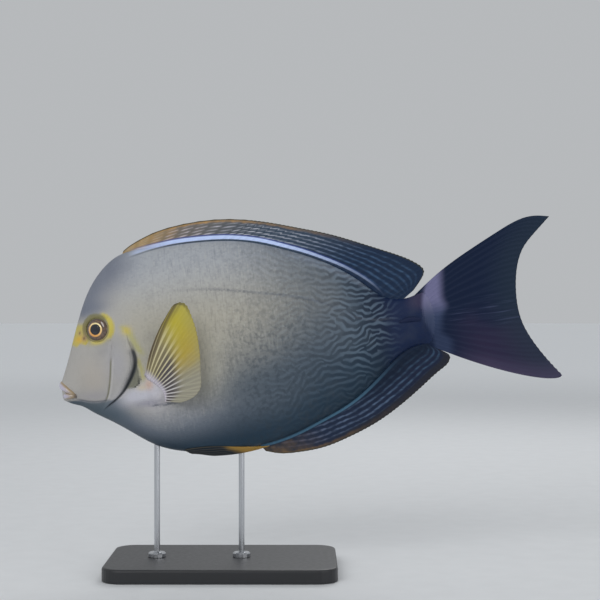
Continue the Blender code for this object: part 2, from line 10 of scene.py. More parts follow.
import bmesh
import bpy
import numpy as np
from mathutils import Matrix, Vector


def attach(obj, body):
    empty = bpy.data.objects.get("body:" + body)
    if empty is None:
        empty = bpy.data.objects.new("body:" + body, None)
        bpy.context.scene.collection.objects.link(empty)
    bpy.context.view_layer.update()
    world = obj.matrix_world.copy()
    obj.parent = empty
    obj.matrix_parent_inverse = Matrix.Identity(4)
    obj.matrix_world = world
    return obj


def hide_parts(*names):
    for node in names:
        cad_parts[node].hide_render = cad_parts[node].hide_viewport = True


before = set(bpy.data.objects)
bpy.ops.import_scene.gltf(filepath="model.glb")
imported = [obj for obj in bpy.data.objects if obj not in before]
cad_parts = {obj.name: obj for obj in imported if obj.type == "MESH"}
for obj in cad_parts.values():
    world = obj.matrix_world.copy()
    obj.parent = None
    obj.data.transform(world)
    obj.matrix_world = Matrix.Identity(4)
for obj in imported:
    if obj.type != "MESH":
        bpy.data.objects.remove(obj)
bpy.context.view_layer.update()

MM = 0.001

# %% [markdown]
# ## The camera
# The picture is a level side view. One of its pixels is 0.9 mm at the fish's middle plane, and the
# camera is about three body lengths away, so a long lens frames 600 pixels across.

# %% Set the camera
PIXEL = 0.9 * MM
FRAME_PIXELS = 600
VIEW_CENTRE = (-0.00945, 0.243)
VIEW_DISTANCE = 1.3
SENSOR_WIDTH = 36


def show(name, data):
    """Puts a new object with this data into the scene."""
    obj = bpy.data.objects.new(name, data)
    bpy.context.scene.collection.objects.link(obj)
    return obj


lens = bpy.data.cameras.new("side_view")
lens.sensor_width = SENSOR_WIDTH
lens.lens = SENSOR_WIDTH * VIEW_DISTANCE / (FRAME_PIXELS * PIXEL)
camera = show("side_view", lens)
camera.location = (VIEW_CENTRE[0], -VIEW_DISTANCE, VIEW_CENTRE[1])
camera.rotation_euler = (math.pi / 2, 0, 0)
bpy.context.scene.camera = camera
print("lens of", round(lens.lens, 1), "mm")

# %% [markdown]
# ## Curves and soft steps
# A fish has almost no straight lines, so every outline here is a smooth curve through a few measured
# points. Small helpers fade things in and out: a bump is a soft hill, a ramp a soft stair, a window a
# stair up and down again, and an oval a hill on the flank.

# %% Curve helpers


def spline(points):
    """The smooth curve through (position, value) points, as a function of position."""
    x, y = np.array(points, float).T
    step = np.diff(x)
    system = np.eye(len(x))
    right = np.zeros(len(x))
    for i in range(1, len(x) - 1):
        system[i, i - 1 : i + 2] = step[i - 1], 2 * (step[i - 1] + step[i]), step[i]
        right[i] = 6 * ((y[i + 1] - y[i]) / step[i] - (y[i] - y[i - 1]) / step[i - 1])
    bend = np.linalg.solve(system, right)

    def value(at):
        at = np.clip(at, x[0], x[-1])
        i = np.clip(np.searchsorted(x, at, side="right") - 1, 0, len(x) - 2)
        b = (at - x[i]) / step[i]
        a = 1 - b
        curve = ((a**3 - a) * bend[i] + (b**3 - b) * bend[i + 1]) * step[i] ** 2 / 6
        return a * y[i] + b * y[i + 1] + curve

    return value


def path(points):
    """The smooth curve through points of a plane, as a function of the share of its length."""
    points = np.array(points, float)
    length = np.append(0, np.cumsum(np.linalg.norm(np.diff(points, axis=0), axis=1)))
    share = length / length[-1]
    lines = [spline(list(zip(share, axis))) for axis in points.T]
    return lambda at: np.stack([line(np.asarray(at, float)) for line in lines], axis=-1)


def bump(distance, reach):
    return np.exp(-((distance / reach) ** 2))


def ramp(value, start, end):
    share = np.clip((value - start) / (end - start), 0, 1)
    return share * share * (3 - 2 * share)


def window(value, start, full, fade, end):
    """0 before start, 1 from full to fade and 0 again after end."""
    return ramp(value, start, full) * (1 - ramp(value, fade, end))


def oval(u, v, centre, size):
    """A soft hill of this size round a centre."""
    return bump(np.hypot((u - centre[0]) / size[0], (v - centre[1]) / size[1]), 1)


# %% [markdown]
# ## The fish's own frame
# The fish swims nose down by 8 degrees. It is easier to draw it level, in millimetres: u from snout to
# tail, v up the flank, y out to the fish's right. One turn and one shift then put any drawn point in
# its place over the stand.

# %% From the fish's frame to the model's
NOSE_DOWN = math.radians(8)
SNOUT_X, SNOUT_Z = -229.5, 182.7
TILT_COS, TILT_SIN = math.cos(NOSE_DOWN), math.sin(NOSE_DOWN)
SIDES = {"left": -1, "right": 1}


def in_model(points):
    """Points (u, y, v) of the fish's frame, in millimetres, as places in the model, in metres."""
    u, y, v = np.moveaxis(np.asarray(points, float), -1, 0)
    x = SNOUT_X + u * TILT_COS - v * TILT_SIN
    z = SNOUT_Z + u * TILT_SIN + v * TILT_COS
    return np.stack([x, y, z], axis=-1) * MM


# %% [markdown]
# ## The body's shape
# A surgeonfish is a deep, thin disc. Its back and belly lines, its half width and the height of its
# widest place are curves along the body, and a superellipse rounds each cross-section between them.

# %% The body's outlines and sections
back = spline([
    (4, -13.5), (9, -3), (17, 16), (26, 38), (34, 55), (44, 70.5), (55, 82), (68, 90.5), (82, 94),
    (103, 94.2), (127, 94.1), (153, 92.8), (181, 88.8), (208, 80.3), (233, 69.8), (251, 60.8),
    (267, 50.6), (280, 40.2), (290, 30.6), (298, 23.6), (309, 18.6), (322, 17.6), (338, 22.6), (352, 29.5),
])
belly = spline([
    (4, -31), (11, -35), (20, -38.8), (27, -44), (42, -54.2), (58, -65.8), (78, -80.6), (99, -89.6),
    (121, -94), (152, -96), (179, -94.4), (206, -88.8), (229, -80.6), (255, -70), (270, -61.2),
    (284, -50.8), (295, -42), (304, -35.2), (314, -29.4), (325, -26.2), (338, -27), (352, -34.5),
])
half_width = spline([
    (4, 6.6), (12, 9.6), (26, 14.8), (44, 21), (62, 25.8), (82, 28.8), (106, 30), (136, 29.6),
    (172, 27.2), (206, 23.2), (240, 17.8), (270, 13), (295, 9.6), (315, 7.6), (330, 6.2), (352, 3.4),
])
widest = spline([(4, -23), (20, -16), (44, -5), (72, 2), (110, 3), (180, 0), (250, -4), (300, -8), (352, -3)])
BACK_FULLNESS, BELLY_FULLNESS = 1.8, 2.1
SNOUT_U, SHOULDER_U, STALK_U = 4, 112, 292


def plain_flank(u, v):
    """How far the smooth body reaches out from its middle plane."""
    middle = widest(u)
    above = v >= middle
    edge = np.where(above, back(u), belly(u))
    rise = np.clip((v - middle) / (edge - middle), 0, 1)
    full = np.where(above, BACK_FULLNESS, BELLY_FULLNESS)
    return half_width(u) * (1 - rise**full) ** (1 / full)


def stalk_end(v):
    """The rounded rear edge of the tail stalk, where the tail fin's rays start."""
    return 346.5 - 5.5 * ((v + 1) / 25) ** 2


# %% [markdown]
# ## Relief on the body
# The head is where a viewer looks first. The relief adds the orbit and its rim, two nostrils, the
# cheek, the crease of the lower jaw, the fold before the gill cover, the raised cover with its dark
# opening, the fleshy pad of the side fin, the lateral line and the groove of the tail's blade.

# %% Landmarks of the flank
fold_line = spline([
    (-75, 27), (-50, 33), (-40, 39.5), (-34, 44), (-26, 47.6), (-14, 50.8), (0, 53.4), (20, 57), (55, 62),
    (110, 67),
])
gill_line = spline([
    (-75, 33), (-56, 35.5), (-47, 38), (-41, 43), (-37.5, 48.5), (-33, 55.2), (-25, 63), (-15, 69.6),
    (-6, 73.6), (4, 73.6), (13, 71.5), (30, 70.5), (60, 73.5), (110, 79),
])
jaw_line = spline([(10, -31.5), (18, -32), (27, -34.4), (40, -35.6), (46, -35)])
lateral_line = spline([
    (84, 47), (96, 50.9), (123, 52.5), (150, 49.5), (175, 44.2), (200, 38.6), (227, 31.2), (252, 20.5),
    (276, 6), (300, 1.5), (345, 0.5),
])
EYE_U, EYE_V = 44.3, 28.4
EYE_RADIUS, EYE_SUNK = 12.4, 4.7
NOSTRILS = [(27.2, 27, 0.9), (31, 21.8, 1.3)]
MOUTH_CORNER = (16.5, -28.2)
BLADE_U, BLADE_V = 321, -3
SHEATH_SIZE = (12, 3.4)


def from_eye(u, v):
    return np.hypot(u - EYE_U, v - EYE_V)


def head_relief(u, v):
    """What the head adds to the smooth body, in millimetres."""
    away = from_eye(u, v)
    rim = 1.1 * bump(away - EYE_RADIUS, 2.4)
    orbit = -7 * (1 - ramp(away, EYE_RADIUS - 3.4, EYE_RADIUS - 1.6))
    cheek = 1.2 * oval(u, v, (33, -12), (15, 15))
    along = window(v, -42, -34, 8, 24)
    fold = -1.0 * bump(u - fold_line(v), 1.2) * along
    cover = 1.7 * ramp(u, fold_line(v), gill_line(v)) * window(v, -46, -34, 10, 26)
    rounded = -1.0 * bump(u - gill_line(v), 1.1) * along
    jaw = -0.8 * bump(v - jaw_line(u), 0.9) * window(u, 12, 18, 40, 46)
    relief = rim + orbit + cheek + fold + cover + rounded + jaw
    for pit_u, pit_v, radius in NOSTRILS:
        from_pit = np.hypot(u - pit_u, v - pit_v)
        relief = relief - 1.6 * bump(from_pit, radius) + 0.35 * bump(from_pit - radius * 1.7, 0.6)
    return relief


def trunk_relief(u, v):
    """What the trunk and tail stalk add to the smooth body, in millimetres."""
    groove = -2.2 * bump(u - gill_line(v) - 0.9, 1.9) * window(v, -44, -36, 8, 16)
    pad = 1.8 * (1 - ramp(np.hypot((u - 89.5) / 9.5, (v + 29) / 17), 0.55, 1.05))
    over_line = v - lateral_line(u)
    ridge = 0.22 * bump(over_line, 0.7) - 0.2 * bump(over_line + 1.5, 0.9)
    from_blade = np.hypot((u - BLADE_U) / SHEATH_SIZE[0], (v - BLADE_V - 0.6) / SHEATH_SIZE[1])
    sheath = -1.1 * bump(from_blade, 0.9)
    return groove + pad + ridge * window(u, 84, 100, 296, 310) + sheath


def flank(u, v):
    """How far the skin reaches out from the middle plane on either side."""
    smooth = plain_flank(u, v)
    fade = np.sqrt(smooth / half_width(u))
    relief = np.where(u < gill_line(v), head_relief(u, v), trunk_relief(u, v))
    thin_end = 1 - 0.9 * ramp(u, stalk_end(v) - 15, stalk_end(v))
    return np.maximum(smooth + relief * fade, 0.02 * smooth) * thin_end


# %% [markdown]
# ## Paint
# The living colours are mixed by soft masks over the flank and stored on the mesh points. A warm grey
# flank turns slate towards belly and tail, the face is lavender grey with yellow before and behind the
# eye, and a pale blue band runs under the dorsal fin. Some coats are painted light and shade: shade
# under belly and chin, in creases, pits and the gill opening, and light where the side fin's shadow
# falls and along the belly's edge. Sharper marks are left to the material.

# %% Colours and where they lie


def tone(red, green, blue):
    """A screen colour, 0 to 255, as the linear light that Blender mixes."""
    c = np.array([red, green, blue], float) / 255
    return np.where(c <= 0.04045, c / 12.92, ((c + 0.055) / 1.055) ** 2.4)


class Paint:
    """The colour at places of the flank, laid on coat by coat."""

    def __init__(self, u, v, ground):
        self.u = u
        self.v = v
        self.colour = np.broadcast_to(ground, u.shape + (3,))

    def coat(self, over, share):
        """A coat of one more colour, thicker where share is larger."""
        self.colour = self.colour + (over - self.colour) * np.asarray(share)[..., None]

    def spots(self, rows):
        """Soft ovals from rows of (colour, centre, size, share)."""
        for over, centre, size, share in rows:
            self.coat(over, oval(self.u, self.v, centre, size) * share)


WARM_GREY, COOL_GREY = tone(172, 168, 156), tone(158, 164, 174)
MID_SLATE, BELLY_BLUE, DEEP = tone(88, 98, 108), tone(34, 56, 74), tone(12, 28, 52)
KEEL_PAINTED_LIGHT, REAR_BELLY, STALK_BLUE = tone(66, 86, 102), tone(14, 40, 58), tone(6, 28, 66)
FACE, FOREHEAD, CHIN_SHADE = tone(168, 166, 164), tone(112, 118, 132), tone(64, 82, 94)
EYE_YELLOW, EYE_RING, STREAK_YELLOW = tone(196, 180, 58), tone(124, 120, 82), tone(176, 172, 92)
BLUE_BAND, BAND_THREAD, BAND_SHADE = tone(192, 210, 250), tone(58, 74, 150), tone(52, 68, 86)
BAND_HALO, PLUM = tone(134, 144, 160), tone(52, 46, 74)
LAVENDER, TAIL_BLUE = tone(116, 115, 150), tone(60, 72, 102)
PAD, CREASE_SHADE_AND_LINE, SLIT_SHADE = tone(192, 192, 202), tone(84, 90, 102), tone(56, 61, 67)
LOBE_YELLOW, LOBE_GREY, LOBE_RIM = tone(170, 164, 92), tone(112, 112, 96), tone(52, 54, 54)
COVER_SHADE, FOLD_OLIVE, FOLD_LIGHT = tone(96, 98, 104), tone(104, 104, 74), tone(190, 188, 186)

# Each spot is a colour, its centre, its size and its strength.
CHEEK_SPOTS = [
    (tone(176, 167, 156), (36, -14), (16, 18), 0.5),
    (tone(158, 158, 170), (60, -4), (12, 22), 0.45),
    (tone(150, 148, 160), (34, -30), (16, 5), 0.4),
]
NOSE_SPOTS = [
    (tone(222, 172, 48), (26, 21.5), (4.5, 3), 0.65),
    (tone(150, 128, 92), (33, 27), (2.5, 7), 0.5),
]
for pit_u, pit_v, radius in NOSTRILS:
    NOSE_SPOTS.append((tone(176, 138, 120), (pit_u, pit_v), (radius * 2.2, radius * 2.2), 0.6))
    # The dark middle of each nostril is painted shade in its pit.
    NOSE_SPOTS.append((tone(70, 58, 56), (pit_u, pit_v), (radius * 0.9, radius * 0.9), 0.8))
SHOULDER_SPOTS = [
    (tone(204, 182, 66), (71, 23.5), (4.5, 4), 0.65),
    # A cooler grey below the side fin: painted shade.
    (tone(140, 146, 160), (100, -57), (48, 17), 0.5),
    # A lighter patch behind the side fin: painted light against the fin's cast shadow.
    (tone(196, 192, 178), (135, -8), (18, 28), 0.9),
    (tone(198, 194, 202), (88, -34), (13, 15), 0.85),
]
PAD_SPOTS = [
    # A grey-violet strip under the pad's lower edge: painted shade.
    (tone(134, 134, 150), (80, -42.5), (15, 3.6), 0.6),
    (tone(206, 186, 140), (78, -28), (5, 3), 0.5),
    (tone(206, 164, 136), (84.5, -26), (3.6, 4.6), 0.6),
]
# Lines down the flank, as heights and the places along the body there.
STREAK_LINE = ((0, 10, 21, 28), (82.5, 77.5, 73, 67.6))
LOBE_LINE = ((-28, -25.5, -21, -12, -6), (69.5, 75, 77.2, 77, 75.5))

rear_shade = spline([
    (100, 0), (150, 0.05), (180, 0.15), (210, 0.3), (240, 0.43), (265, 0.54), (285, 0.79), (305, 1), (345, 1),
])
low_shade = spline([(-96, 0.72), (-75, 0.62), (-55, 0.52), (-35, 0.46), (-15, 0.28), (5, 0.13), (25, 0)])
band_middle = spline([
    (70, 88.2), (75.4, 90), (81.1, 91.6), (86.6, 92.7), (97.8, 94.6), (108.9, 95.9), (120, 96.7), (138, 96.7),
    (157, 95.6), (170, 94.1), (182, 91.8), (194.2, 88.7), (206.4, 84.6), (218.4, 79.7), (230.4, 74.7),
    (242.4, 69), (254.2, 62.7), (266, 55.9), (277.6, 48), (289, 38.5), (300, 26), (310, 10),
])


def tail_band(u, v):
    """The pale crescent over the tail's root: its colour, lavender above and bluer below, and its cover."""
    front = np.minimum(333.5 + 0.012 * (v - 4) ** 2, 340)
    rear = 351 + 0.12 * (v - 2) + 4 * bump(v - 5, 6) + 9 * ramp(-v, 16, 27)
    cover = window(u, front - 2, front + 3, rear - 5, rear + 5)
    pale = Paint(u, v, TAIL_BLUE)
    pale.coat(LAVENDER, ramp(v, -4, 16))
    return pale.colour, cover * (0.5 + 0.4 * ramp(v, -20, 4))


def paint_flank(paint, u, v):
    """Grey sides that darken towards belly and tail, partly as painted shade below, a slate forehead, painted
    shade under the chin and painted light along the belly's edge.
    """
    over_belly, under_back = v - belly(u), back(u) - v
    paint.coat(COOL_GREY, ramp(v, 20, 85) * 0.8)
    paint.coat(FACE, (1 - ramp(u, 50, 84)) * 0.8)
    brow = ramp(v, 34, 46) * (1 - ramp(u, 62, 100))
    paint.coat(FOREHEAD, brow * (1 - ramp(under_back, 8, 46)) * 0.9)
    paint.coat(FOREHEAD, oval(u, v, (42, 48), (15, 7)) * 0.7)
    # Darker towards the belly: partly the fish's own colour, partly painted shade from the light above.
    low = low_shade(v) * ramp(u, 80, 164)
    low = 1 - (1 - low) * (1 - 0.5 * ramp(-v, 5, 50) * ramp(u, 205, 275))
    edge = (1 - ramp(over_belly, -10, 44 + 12 * bump(u - 118, 34))) * ramp(u, 36, 62)
    rear = rear_shade(u + 0.04 * (v - 20))
    shade = 1 - (1 - low) * (1 - 0.9 * edge) * (1 - rear)
    paint.coat(MID_SLATE, ramp(shade, 0, 0.62))
    paint.coat(BELLY_BLUE, ramp(shade, 0.4, 0.95))
    # A lighter strip along the belly's lower edge: painted light against the shade below.
    paint.coat(KEEL_PAINTED_LIGHT, (1 - ramp(over_belly, 0, 14)) * window(u, 95, 125, 170, 220) * 0.6)
    paint.coat(DEEP, ramp(rear, 0.5, 1.0))
    # Darker under the jaw: painted shade.
    paint.coat(CHIN_SHADE, ramp(jaw_line(u) - v, -0.4, 1.6) * (1 - ramp(u, 50, 68)))
    paint.coat(REAR_BELLY, (1 - ramp(over_belly, 3, 34)) * ramp(u, 205, 265) * 0.6)
    paint.coat(STALK_BLUE, ramp(u, 286, 310) * 0.88)
    paint.coat(BAND_HALO, bump(v - band_middle(u) + 7.5, 3.6) * window(u, 205, 235, 280, 296) * 0.55)
    paint.coat(PLUM, ramp(u, 316, 332) * ramp(v, 2, 12) * 0.8)
    paint.coat(*tail_band(u, v))


def up_front(u, v):
    """How far a place lies up and forward from the eye's middle."""
    return (EYE_U - u + v - EYE_V) / 15


def paint_eye_patch(paint, u, v):
    """Yellow before, under and behind the eye, an olive ring, and the nostrils in the yellow."""
    away, turn = from_eye(u, v), np.abs(np.arctan2(v - EYE_V, u - EYE_U) - 0.2)
    foot = 16.2 + 0.1 * (u - 22) + 1.1 * np.sin(u * 0.75)
    ahead = window(v, foot - 1, foot + 0.8, 32, 37) * (1 - ramp(u, 34, 42))
    under = oval(u, v, (42, 16.6), (8.5, 2.2))
    crescent = 16.2 - 1.4 * turn**2
    behind = window(away, EYE_RADIUS - 1.6, EYE_RADIUS - 0.2, crescent - 1.5, crescent + 1.8)
    behind = behind * (1 - ramp(turn, 0.75, 1.2))
    paint.coat(EYE_YELLOW, np.clip(0.75 * ahead + 0.6 * under + 0.92 * behind, 0, 0.9))
    lean = up_front(u, v)
    near_eye = (1 - ramp(away, EYE_RADIUS - 0.2, EYE_RADIUS + 2.2)) * ramp(-lean, 0.1, 0.6)
    paint.coat(EYE_YELLOW, near_eye * 0.6)
    paint.spots(CHEEK_SPOTS)
    from_ring = np.hypot(u - EYE_U + 0.9, v - EYE_V - 1.1)
    ring = (1 - ramp(from_ring, EYE_RADIUS + 0.1, EYE_RADIUS + 1.2)) * ramp(lean, -0.45, 0.2)
    paint.coat(EYE_RING, ring * 0.88)
    paint.spots(NOSE_SPOTS)


def paint_shoulder(paint, u, v):
    """A yellow streak over the gill opening, pale skin round the foot of the side fin, painted shade below
    the fin and its pad, and painted light where the fin's shadow falls behind it.
    """
    streak = bump(u - np.interp(v, *STREAK_LINE), 3.2) * window(v, -3, 6, 26, 31)
    paint.coat(STREAK_YELLOW, streak * 0.6)
    paint.spots(SHOULDER_SPOTS)
    leaning = u - 0.8 * (v + 34)
    paint.coat(PAD, np.clip(oval(leaning, v, (74, -34), (17, 8)) * 1.15, 0, 0.9))
    paint.spots(PAD_SPOTS)


def paint_lobe(paint, u, v):
    """The lobe between gill opening and side fin: its yellow and dark edges, and painted shade in the crease
    below the side fin's pad.
    """
    edge, gill = np.interp(v, *LOBE_LINE), gill_line(v)
    paint.coat(LOBE_YELLOW, bump(u - edge - 2.6, 2.4) * window(v, -26, -18, -6, 2) * 0.7)
    inside = window(u, gill, gill + 1, edge - 0.8, edge + 0.8)
    paint.coat(LOBE_GREY, inside * window(v, -28.5, -26, -9, -3) * 0.9)
    paint.coat(LOBE_RIM, bump(u - edge + 0.6, 1.1) * window(v, -29, -26, -21, -16) * 0.85)
    # Painted shade in the crease below the side fin's pad.
    arc = bump(v + 45.5 - 0.003 * (u - 94) ** 2, 1.0)
    paint.coat(CREASE_SHADE_AND_LINE, arc * window(u, 80, 88, 100, 112) * 0.7)


def paint_folds(paint, u, v):
    """The gill opening and the jaw's crease, darkened with painted shade, painted shade just before the
    opening, the fold before it and the lateral line.
    """
    behind_gill, behind_fold = u - gill_line(v), u - fold_line(v)
    along = window(v, -44, -38, 4, 8.5)
    paint.coat(COVER_SHADE, bump(behind_gill + 0.8, 2.6) * along * ramp(v, -34, -20) * 0.6)
    # The gill opening is darkened with painted shade.
    width = 0.8 + 0.9 * bump(v + 14, 17)
    slit = bump(behind_gill - width * 0.9, width * 1.2) * along
    paint.coat(SLIT_SHADE, np.clip(slit * 1.1, 0, 0.85))
    along = window(v, -38, -33, -3, 4)
    paint.coat(FOLD_OLIVE, bump(behind_fold, 0.7) * along * 0.85)
    paint.coat(FOLD_LIGHT, bump(behind_fold - 1.8, 0.9) * along * 0.5)
    # Painted shade in the jaw's crease; the lateral line is darkened in the same grey.
    paint.coat(CREASE_SHADE_AND_LINE, bump(v - jaw_line(u), 0.8) * window(u, 15, 20, 42, 50) * 0.8)
    paint.coat(CREASE_SHADE_AND_LINE, bump(v - lateral_line(u), 1.0) * window(u, 96, 176, 296, 312) * 0.5)


def skin_paint(u, v):
    """The whole skin's colour at places of the flank."""
    paint = Paint(u, v, WARM_GREY)
    for layer in (paint_flank, paint_eye_patch, paint_shoulder, paint_lobe, paint_folds):
        layer(paint, u, v)
    return paint


# %% [markdown]
# ## Attributes and pieces
# A mesh can carry numbers and colours on its points. They stay with the surface, so a pattern stored
# this way can't slide. Two small helpers store them and turn point lists into a finished piece.

# %% Mesh helpers


def carry(mesh, name, values):
    """Stores one number, or one colour, for each point of a mesh."""
    values = np.asarray(values, np.float32)
    if values.ndim == 2:
        solid = np.ones((len(values), 1), np.float32)
        store = mesh.attributes.new(name, "FLOAT_COLOR", "POINT")
        store.data.foreach_set("color", np.hstack([values, solid]).ravel())
    else:
        store = mesh.attributes.new(name, "FLOAT", "POINT")
        store.data.foreach_set("value", values.ravel())


def piece(name, points, faces, finish, sharp=None):
    """A closed mesh from points in metres, its faces turned outwards and shaded smooth."""
    mesh = bpy.data.meshes.new(name)
    mesh.from_pydata(np.asarray(points, float).tolist(), [], faces)
    build = bmesh.new()
    build.from_mesh(mesh)
    bmesh.ops.recalc_face_normals(build, faces=build.faces)
    build.to_mesh(mesh)
    build.free()
    mesh.shade_smooth()
    if sharp:
        mesh.set_sharp_from_angle(angle=math.radians(sharp))
    mesh.materials.append(finish)
    return show(name, mesh)


def dress(obj, slot, *nodes):
    """Puts a piece on the root body and hides the solids that it stands for. slot is not used."""
    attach(obj, "root")
    if nodes:
        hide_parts(*nodes)


def carry_band(mesh, u, v):
    """The height over the blue band's middle, half the band's width and its strength."""
    carry(mesh, "over_band", v - band_middle(u))
    carry(mesh, "band_half", 1.75 + 0.7 * (1 - ramp(u, 82, 112)) - 0.4 * ramp(u, 200, 280))
    fading = (1 - 0.35 * ramp(u, 205, 260)) * (1 - 0.55 * ramp(u, 250, 285)) * (1 - ramp(u, 286, 303))
    carry(mesh, "band_share", (0.5 * ramp(u, 77, 90) + 0.5 * ramp(u, 88, 122)) * fading)


def wavy_share(u, v):
    """Where the wavy lines show: faint from mid flank, bold before the tail stalk."""
    edges = bump(v - 72, 14) + bump(v + 48, 26)
    faint = ramp(u, 160 - 20 * edges, 225)
    share = (0.4 * faint + 0.6 * ramp(u, 225, 270)) * (1 - ramp(u, 288, 318))
    return share * (1 - 0.7 * (1 - ramp(v - belly(u), 6, 34)))


def carry_skin(mesh, u, v, colour, tint):
    """All that the skin's finish reads, for points at these places of the flank."""
    carry(mesh, "paint", colour)
    carry(mesh, "wavy", wavy_share(u, v))
    carry_band(mesh, u, v)
    carry(mesh, "tint", tint + 0 * u)


def tube_faces(rings, count):
    """Quads between neighbouring closed rings of one size."""
    return [
        (r * count + j, r * count + (j + 1) % count, (r + 1) * count + (j + 1) % count, (r + 1) * count + j)
        for r in range(rings - 1)
        for j in range(count)
    ]


# %% [markdown]
# ## Shader arithmetic
# A pattern is arithmetic on the surface's own numbers. A small class lets Python write it: plus, minus,
# times and the rest each add a Math node, and `node` adds any other kind with its settings. A finish
# is then built like paint, with `coat` laying one more colour over the colour so far.

# %% A number on a surface, and a finish


class Number:
    """A value that varies over a surface. Python's arithmetic on it adds Math nodes."""

    def __init__(self, finish, socket):
        self.finish = finish
        self.socket = socket

    def math(self, operation, *others, clamp=False):
        settings = {"operation": operation, "use_clamp": clamp}
        return self.finish.node("ShaderNodeMath", settings, {0: self, **dict(enumerate(others, 1))})

    def __add__(self, other):
        return self.math("ADD", other)

    def __sub__(self, other):
        return self.math("SUBTRACT", other)

    def __rsub__(self, other):
        return (self * -1) + other

    def __neg__(self):
        return self * -1

    def __mul__(self, other):
        return self.math("MULTIPLY", other)

    def __truediv__(self, other):
        return self.math("DIVIDE", other)

    __radd__ = __add__
    __rmul__ = __mul__

    def step(self, start, end):
        """0 below start, 1 above end, smooth between."""
        sockets = {"Value": self, "From Min": start, "From Max": end}
        return self.finish.node("ShaderNodeMapRange", {"interpolation_type": "SMOOTHSTEP"}, sockets)


class Finish:
    """One material, with short ways to add nodes, to lay coats and to set its shader."""

    def __init__(self, name, **fixed):
        self.material = bpy.data.materials.new(name)
        self.material.use_nodes = True
        self.tree = self.material.node_tree
        self.shader = self.tree.nodes["Principled BSDF"]
        for socket, value in fixed.items():
            self.shader.inputs[socket.replace("_", " ")].default_value = value
        self.place = self.node("ShaderNodeTexCoord", {}, {}, "Object")
        self.colour = None

    def node(self, kind, settings, sockets, output=0):
        node = self.tree.nodes.new(kind)
        for name, value in settings.items():
            setattr(node, name, value)
        for name, value in sockets.items():
            if isinstance(value, Number):
                self.tree.links.new(value.socket, node.inputs[name])
            else:
                node.inputs[name].default_value = value
        return Number(self, node.outputs[output])

    def attribute(self, name, output="Fac"):
        return self.node("ShaderNodeAttribute", {"attribute_name": name}, {}, output)

    def attributes(self, *names):
        return [self.attribute(name) for name in names]

    def noise(self, stretch=(1, 1, 1), scale=1.0, detail=2.0, roughness=0.5):
        """Soft noise over the place, squeezed or stretched along its axes."""
        settings = {"operation": "MULTIPLY"}
        place = self.node("ShaderNodeVectorMath", settings, {0: self.place, 1: stretch})
        sockets = {"Vector": place, "Scale": scale, "Detail": detail, "Roughness": roughness}
        return self.node("ShaderNodeTexNoise", {}, sockets)

    def mix(self, first, second, share):
        first, second = (c if isinstance(c, Number) else (*c, 1.0) for c in (first, second))
        return self.node("ShaderNodeMix", {"data_type": "RGBA"}, {0: share, 6: first, 7: second}, 2)

    def coat(self, over, share):
        self.colour = self.mix(self.colour, over, share)

    def run(self, value, *stops):
        """Colours in turn along a value, from stops of (place, colour)."""
        colour = stops[0][1]
        for (start, _), (end, following) in zip(stops, stops[1:]):
            colour = self.mix(colour, following, value.step(start, end))
        return colour

    def set(self, **sockets):
        for name, value in sockets.items():
            self.tree.links.new(value.socket, self.shader.inputs[name.replace("_", " ")])

    def raised(self, height, distance=0.0003):
        """Bump from a height in units of distance, in metres."""
        sockets = {"Height": height, "Distance": distance, "Strength": 0.5}
        self.set(Normal=self.node("ShaderNodeBump", {}, sockets))

    def ray_relief(self, joints, depth, grain):
        """The small joints of every ray, over a fine grain."""
        out, crest = self.attributes("out", "crest")
        height = (out * joints).math("SINE") * crest * depth
        self.raised(height + self.noise(scale=grain) * 0.4)


def fish_finish(name, **fixed):
    """A finish whose place is turned back to the fish's frame: (u, y, v) in millimetres."""
    finish = Finish(name, **fixed)
    turned = {"Location": (SNOUT_X * MM, 0, SNOUT_Z * MM), "Rotation": (0, -NOSE_DOWN, 0)}
    sockets = {"Vector": finish.place, "Scale": (MM, MM, MM), **turned}
    finish.place = finish.node("ShaderNodeMapping", {"vector_type": "TEXTURE"}, sockets)
    return finish


def coat_band(finish):
    """The pale blue band over a colour, with a violet thread above it and a dark line below."""
    over, half, share = finish.attributes("over_band", "band_half", "band_share")
    below = 1 - (over + half + 0.9).math("ABSOLUTE").step(0.3, 1.2)
    finish.coat(BAND_SHADE, below * share * 0.85)
    above = 1 - (over - half - 0.5).math("ABSOLUTE").step(0.2, 0.9)
    finish.coat(BAND_THREAD, above * share * 0.75)
    inside = 1 - (over.math("ABSOLUTE") / half).step(0.68, 1.25)
    finish.coat(BLUE_BAND, inside * share)


# %% [markdown]
# ## The skin's finish
# A surgeonfish's scales are tiny, so its skin looks like fine suede under a wet film. The rear half
# carries wavy dark lines like a fingerprint. They are a striped noise: its stripes keep an even width
# and run along the body, while a softer noise sways them up and down. Fine upright streaks follow the
# rows of scales.

# %% Make the skin's finish
FLAT = (1.0, 0.0, 1.0)
LINE_DARK, LINE_LIGHT = tone(20, 32, 50), tone(120, 140, 160)
STREAK_PALE, STREAK_GREY, MOTTLE = tone(196, 194, 184), tone(70, 78, 84), tone(52, 62, 72)
CLOUD_GREY, SCALE_DARK, SCALE_PALE = tone(84, 90, 98), tone(40, 48, 58), tone(214, 214, 210)


def coat_wavy_lines(skin, u, v, wavy):
    """Dark and pale lines that sway along the body, as strong as wavy says."""
    sway = (skin.noise((1.0, 0.0, 0.5), 0.12, 0.0) - 0.5) * 7.0
    where = skin.node("ShaderNodeCombineXYZ", {}, {0: u, 1: v + sway})
    across = (skin.noise(FLAT, 0.04, 0.0) - 0.5) * 2.4 + (v + 3.0) * -0.004 + math.pi / 2
    sockets = {"Vector": where, "Scale": 0.06, "Frequency": 3.1, "Anisotropy": 0.85, "Orientation": across}
    phase = skin.node("ShaderNodeTexGabor", {"gabor_type": "2D"}, sockets, 1)
    lines = (phase * (2 * math.pi)).math("SINE")
    shown = wavy * (skin.noise(FLAT, 0.09, 1.0).step(0.3, 0.6) * 0.5 + 0.5)
    skin.coat(LINE_DARK, lines.step(-0.8, 1.0) * shown * 0.48)
    skin.coat(LINE_LIGHT, (1 - lines.step(-1.0, 0.4)) * shown * (u.step(250, 300) * 0.16 + 0.28))


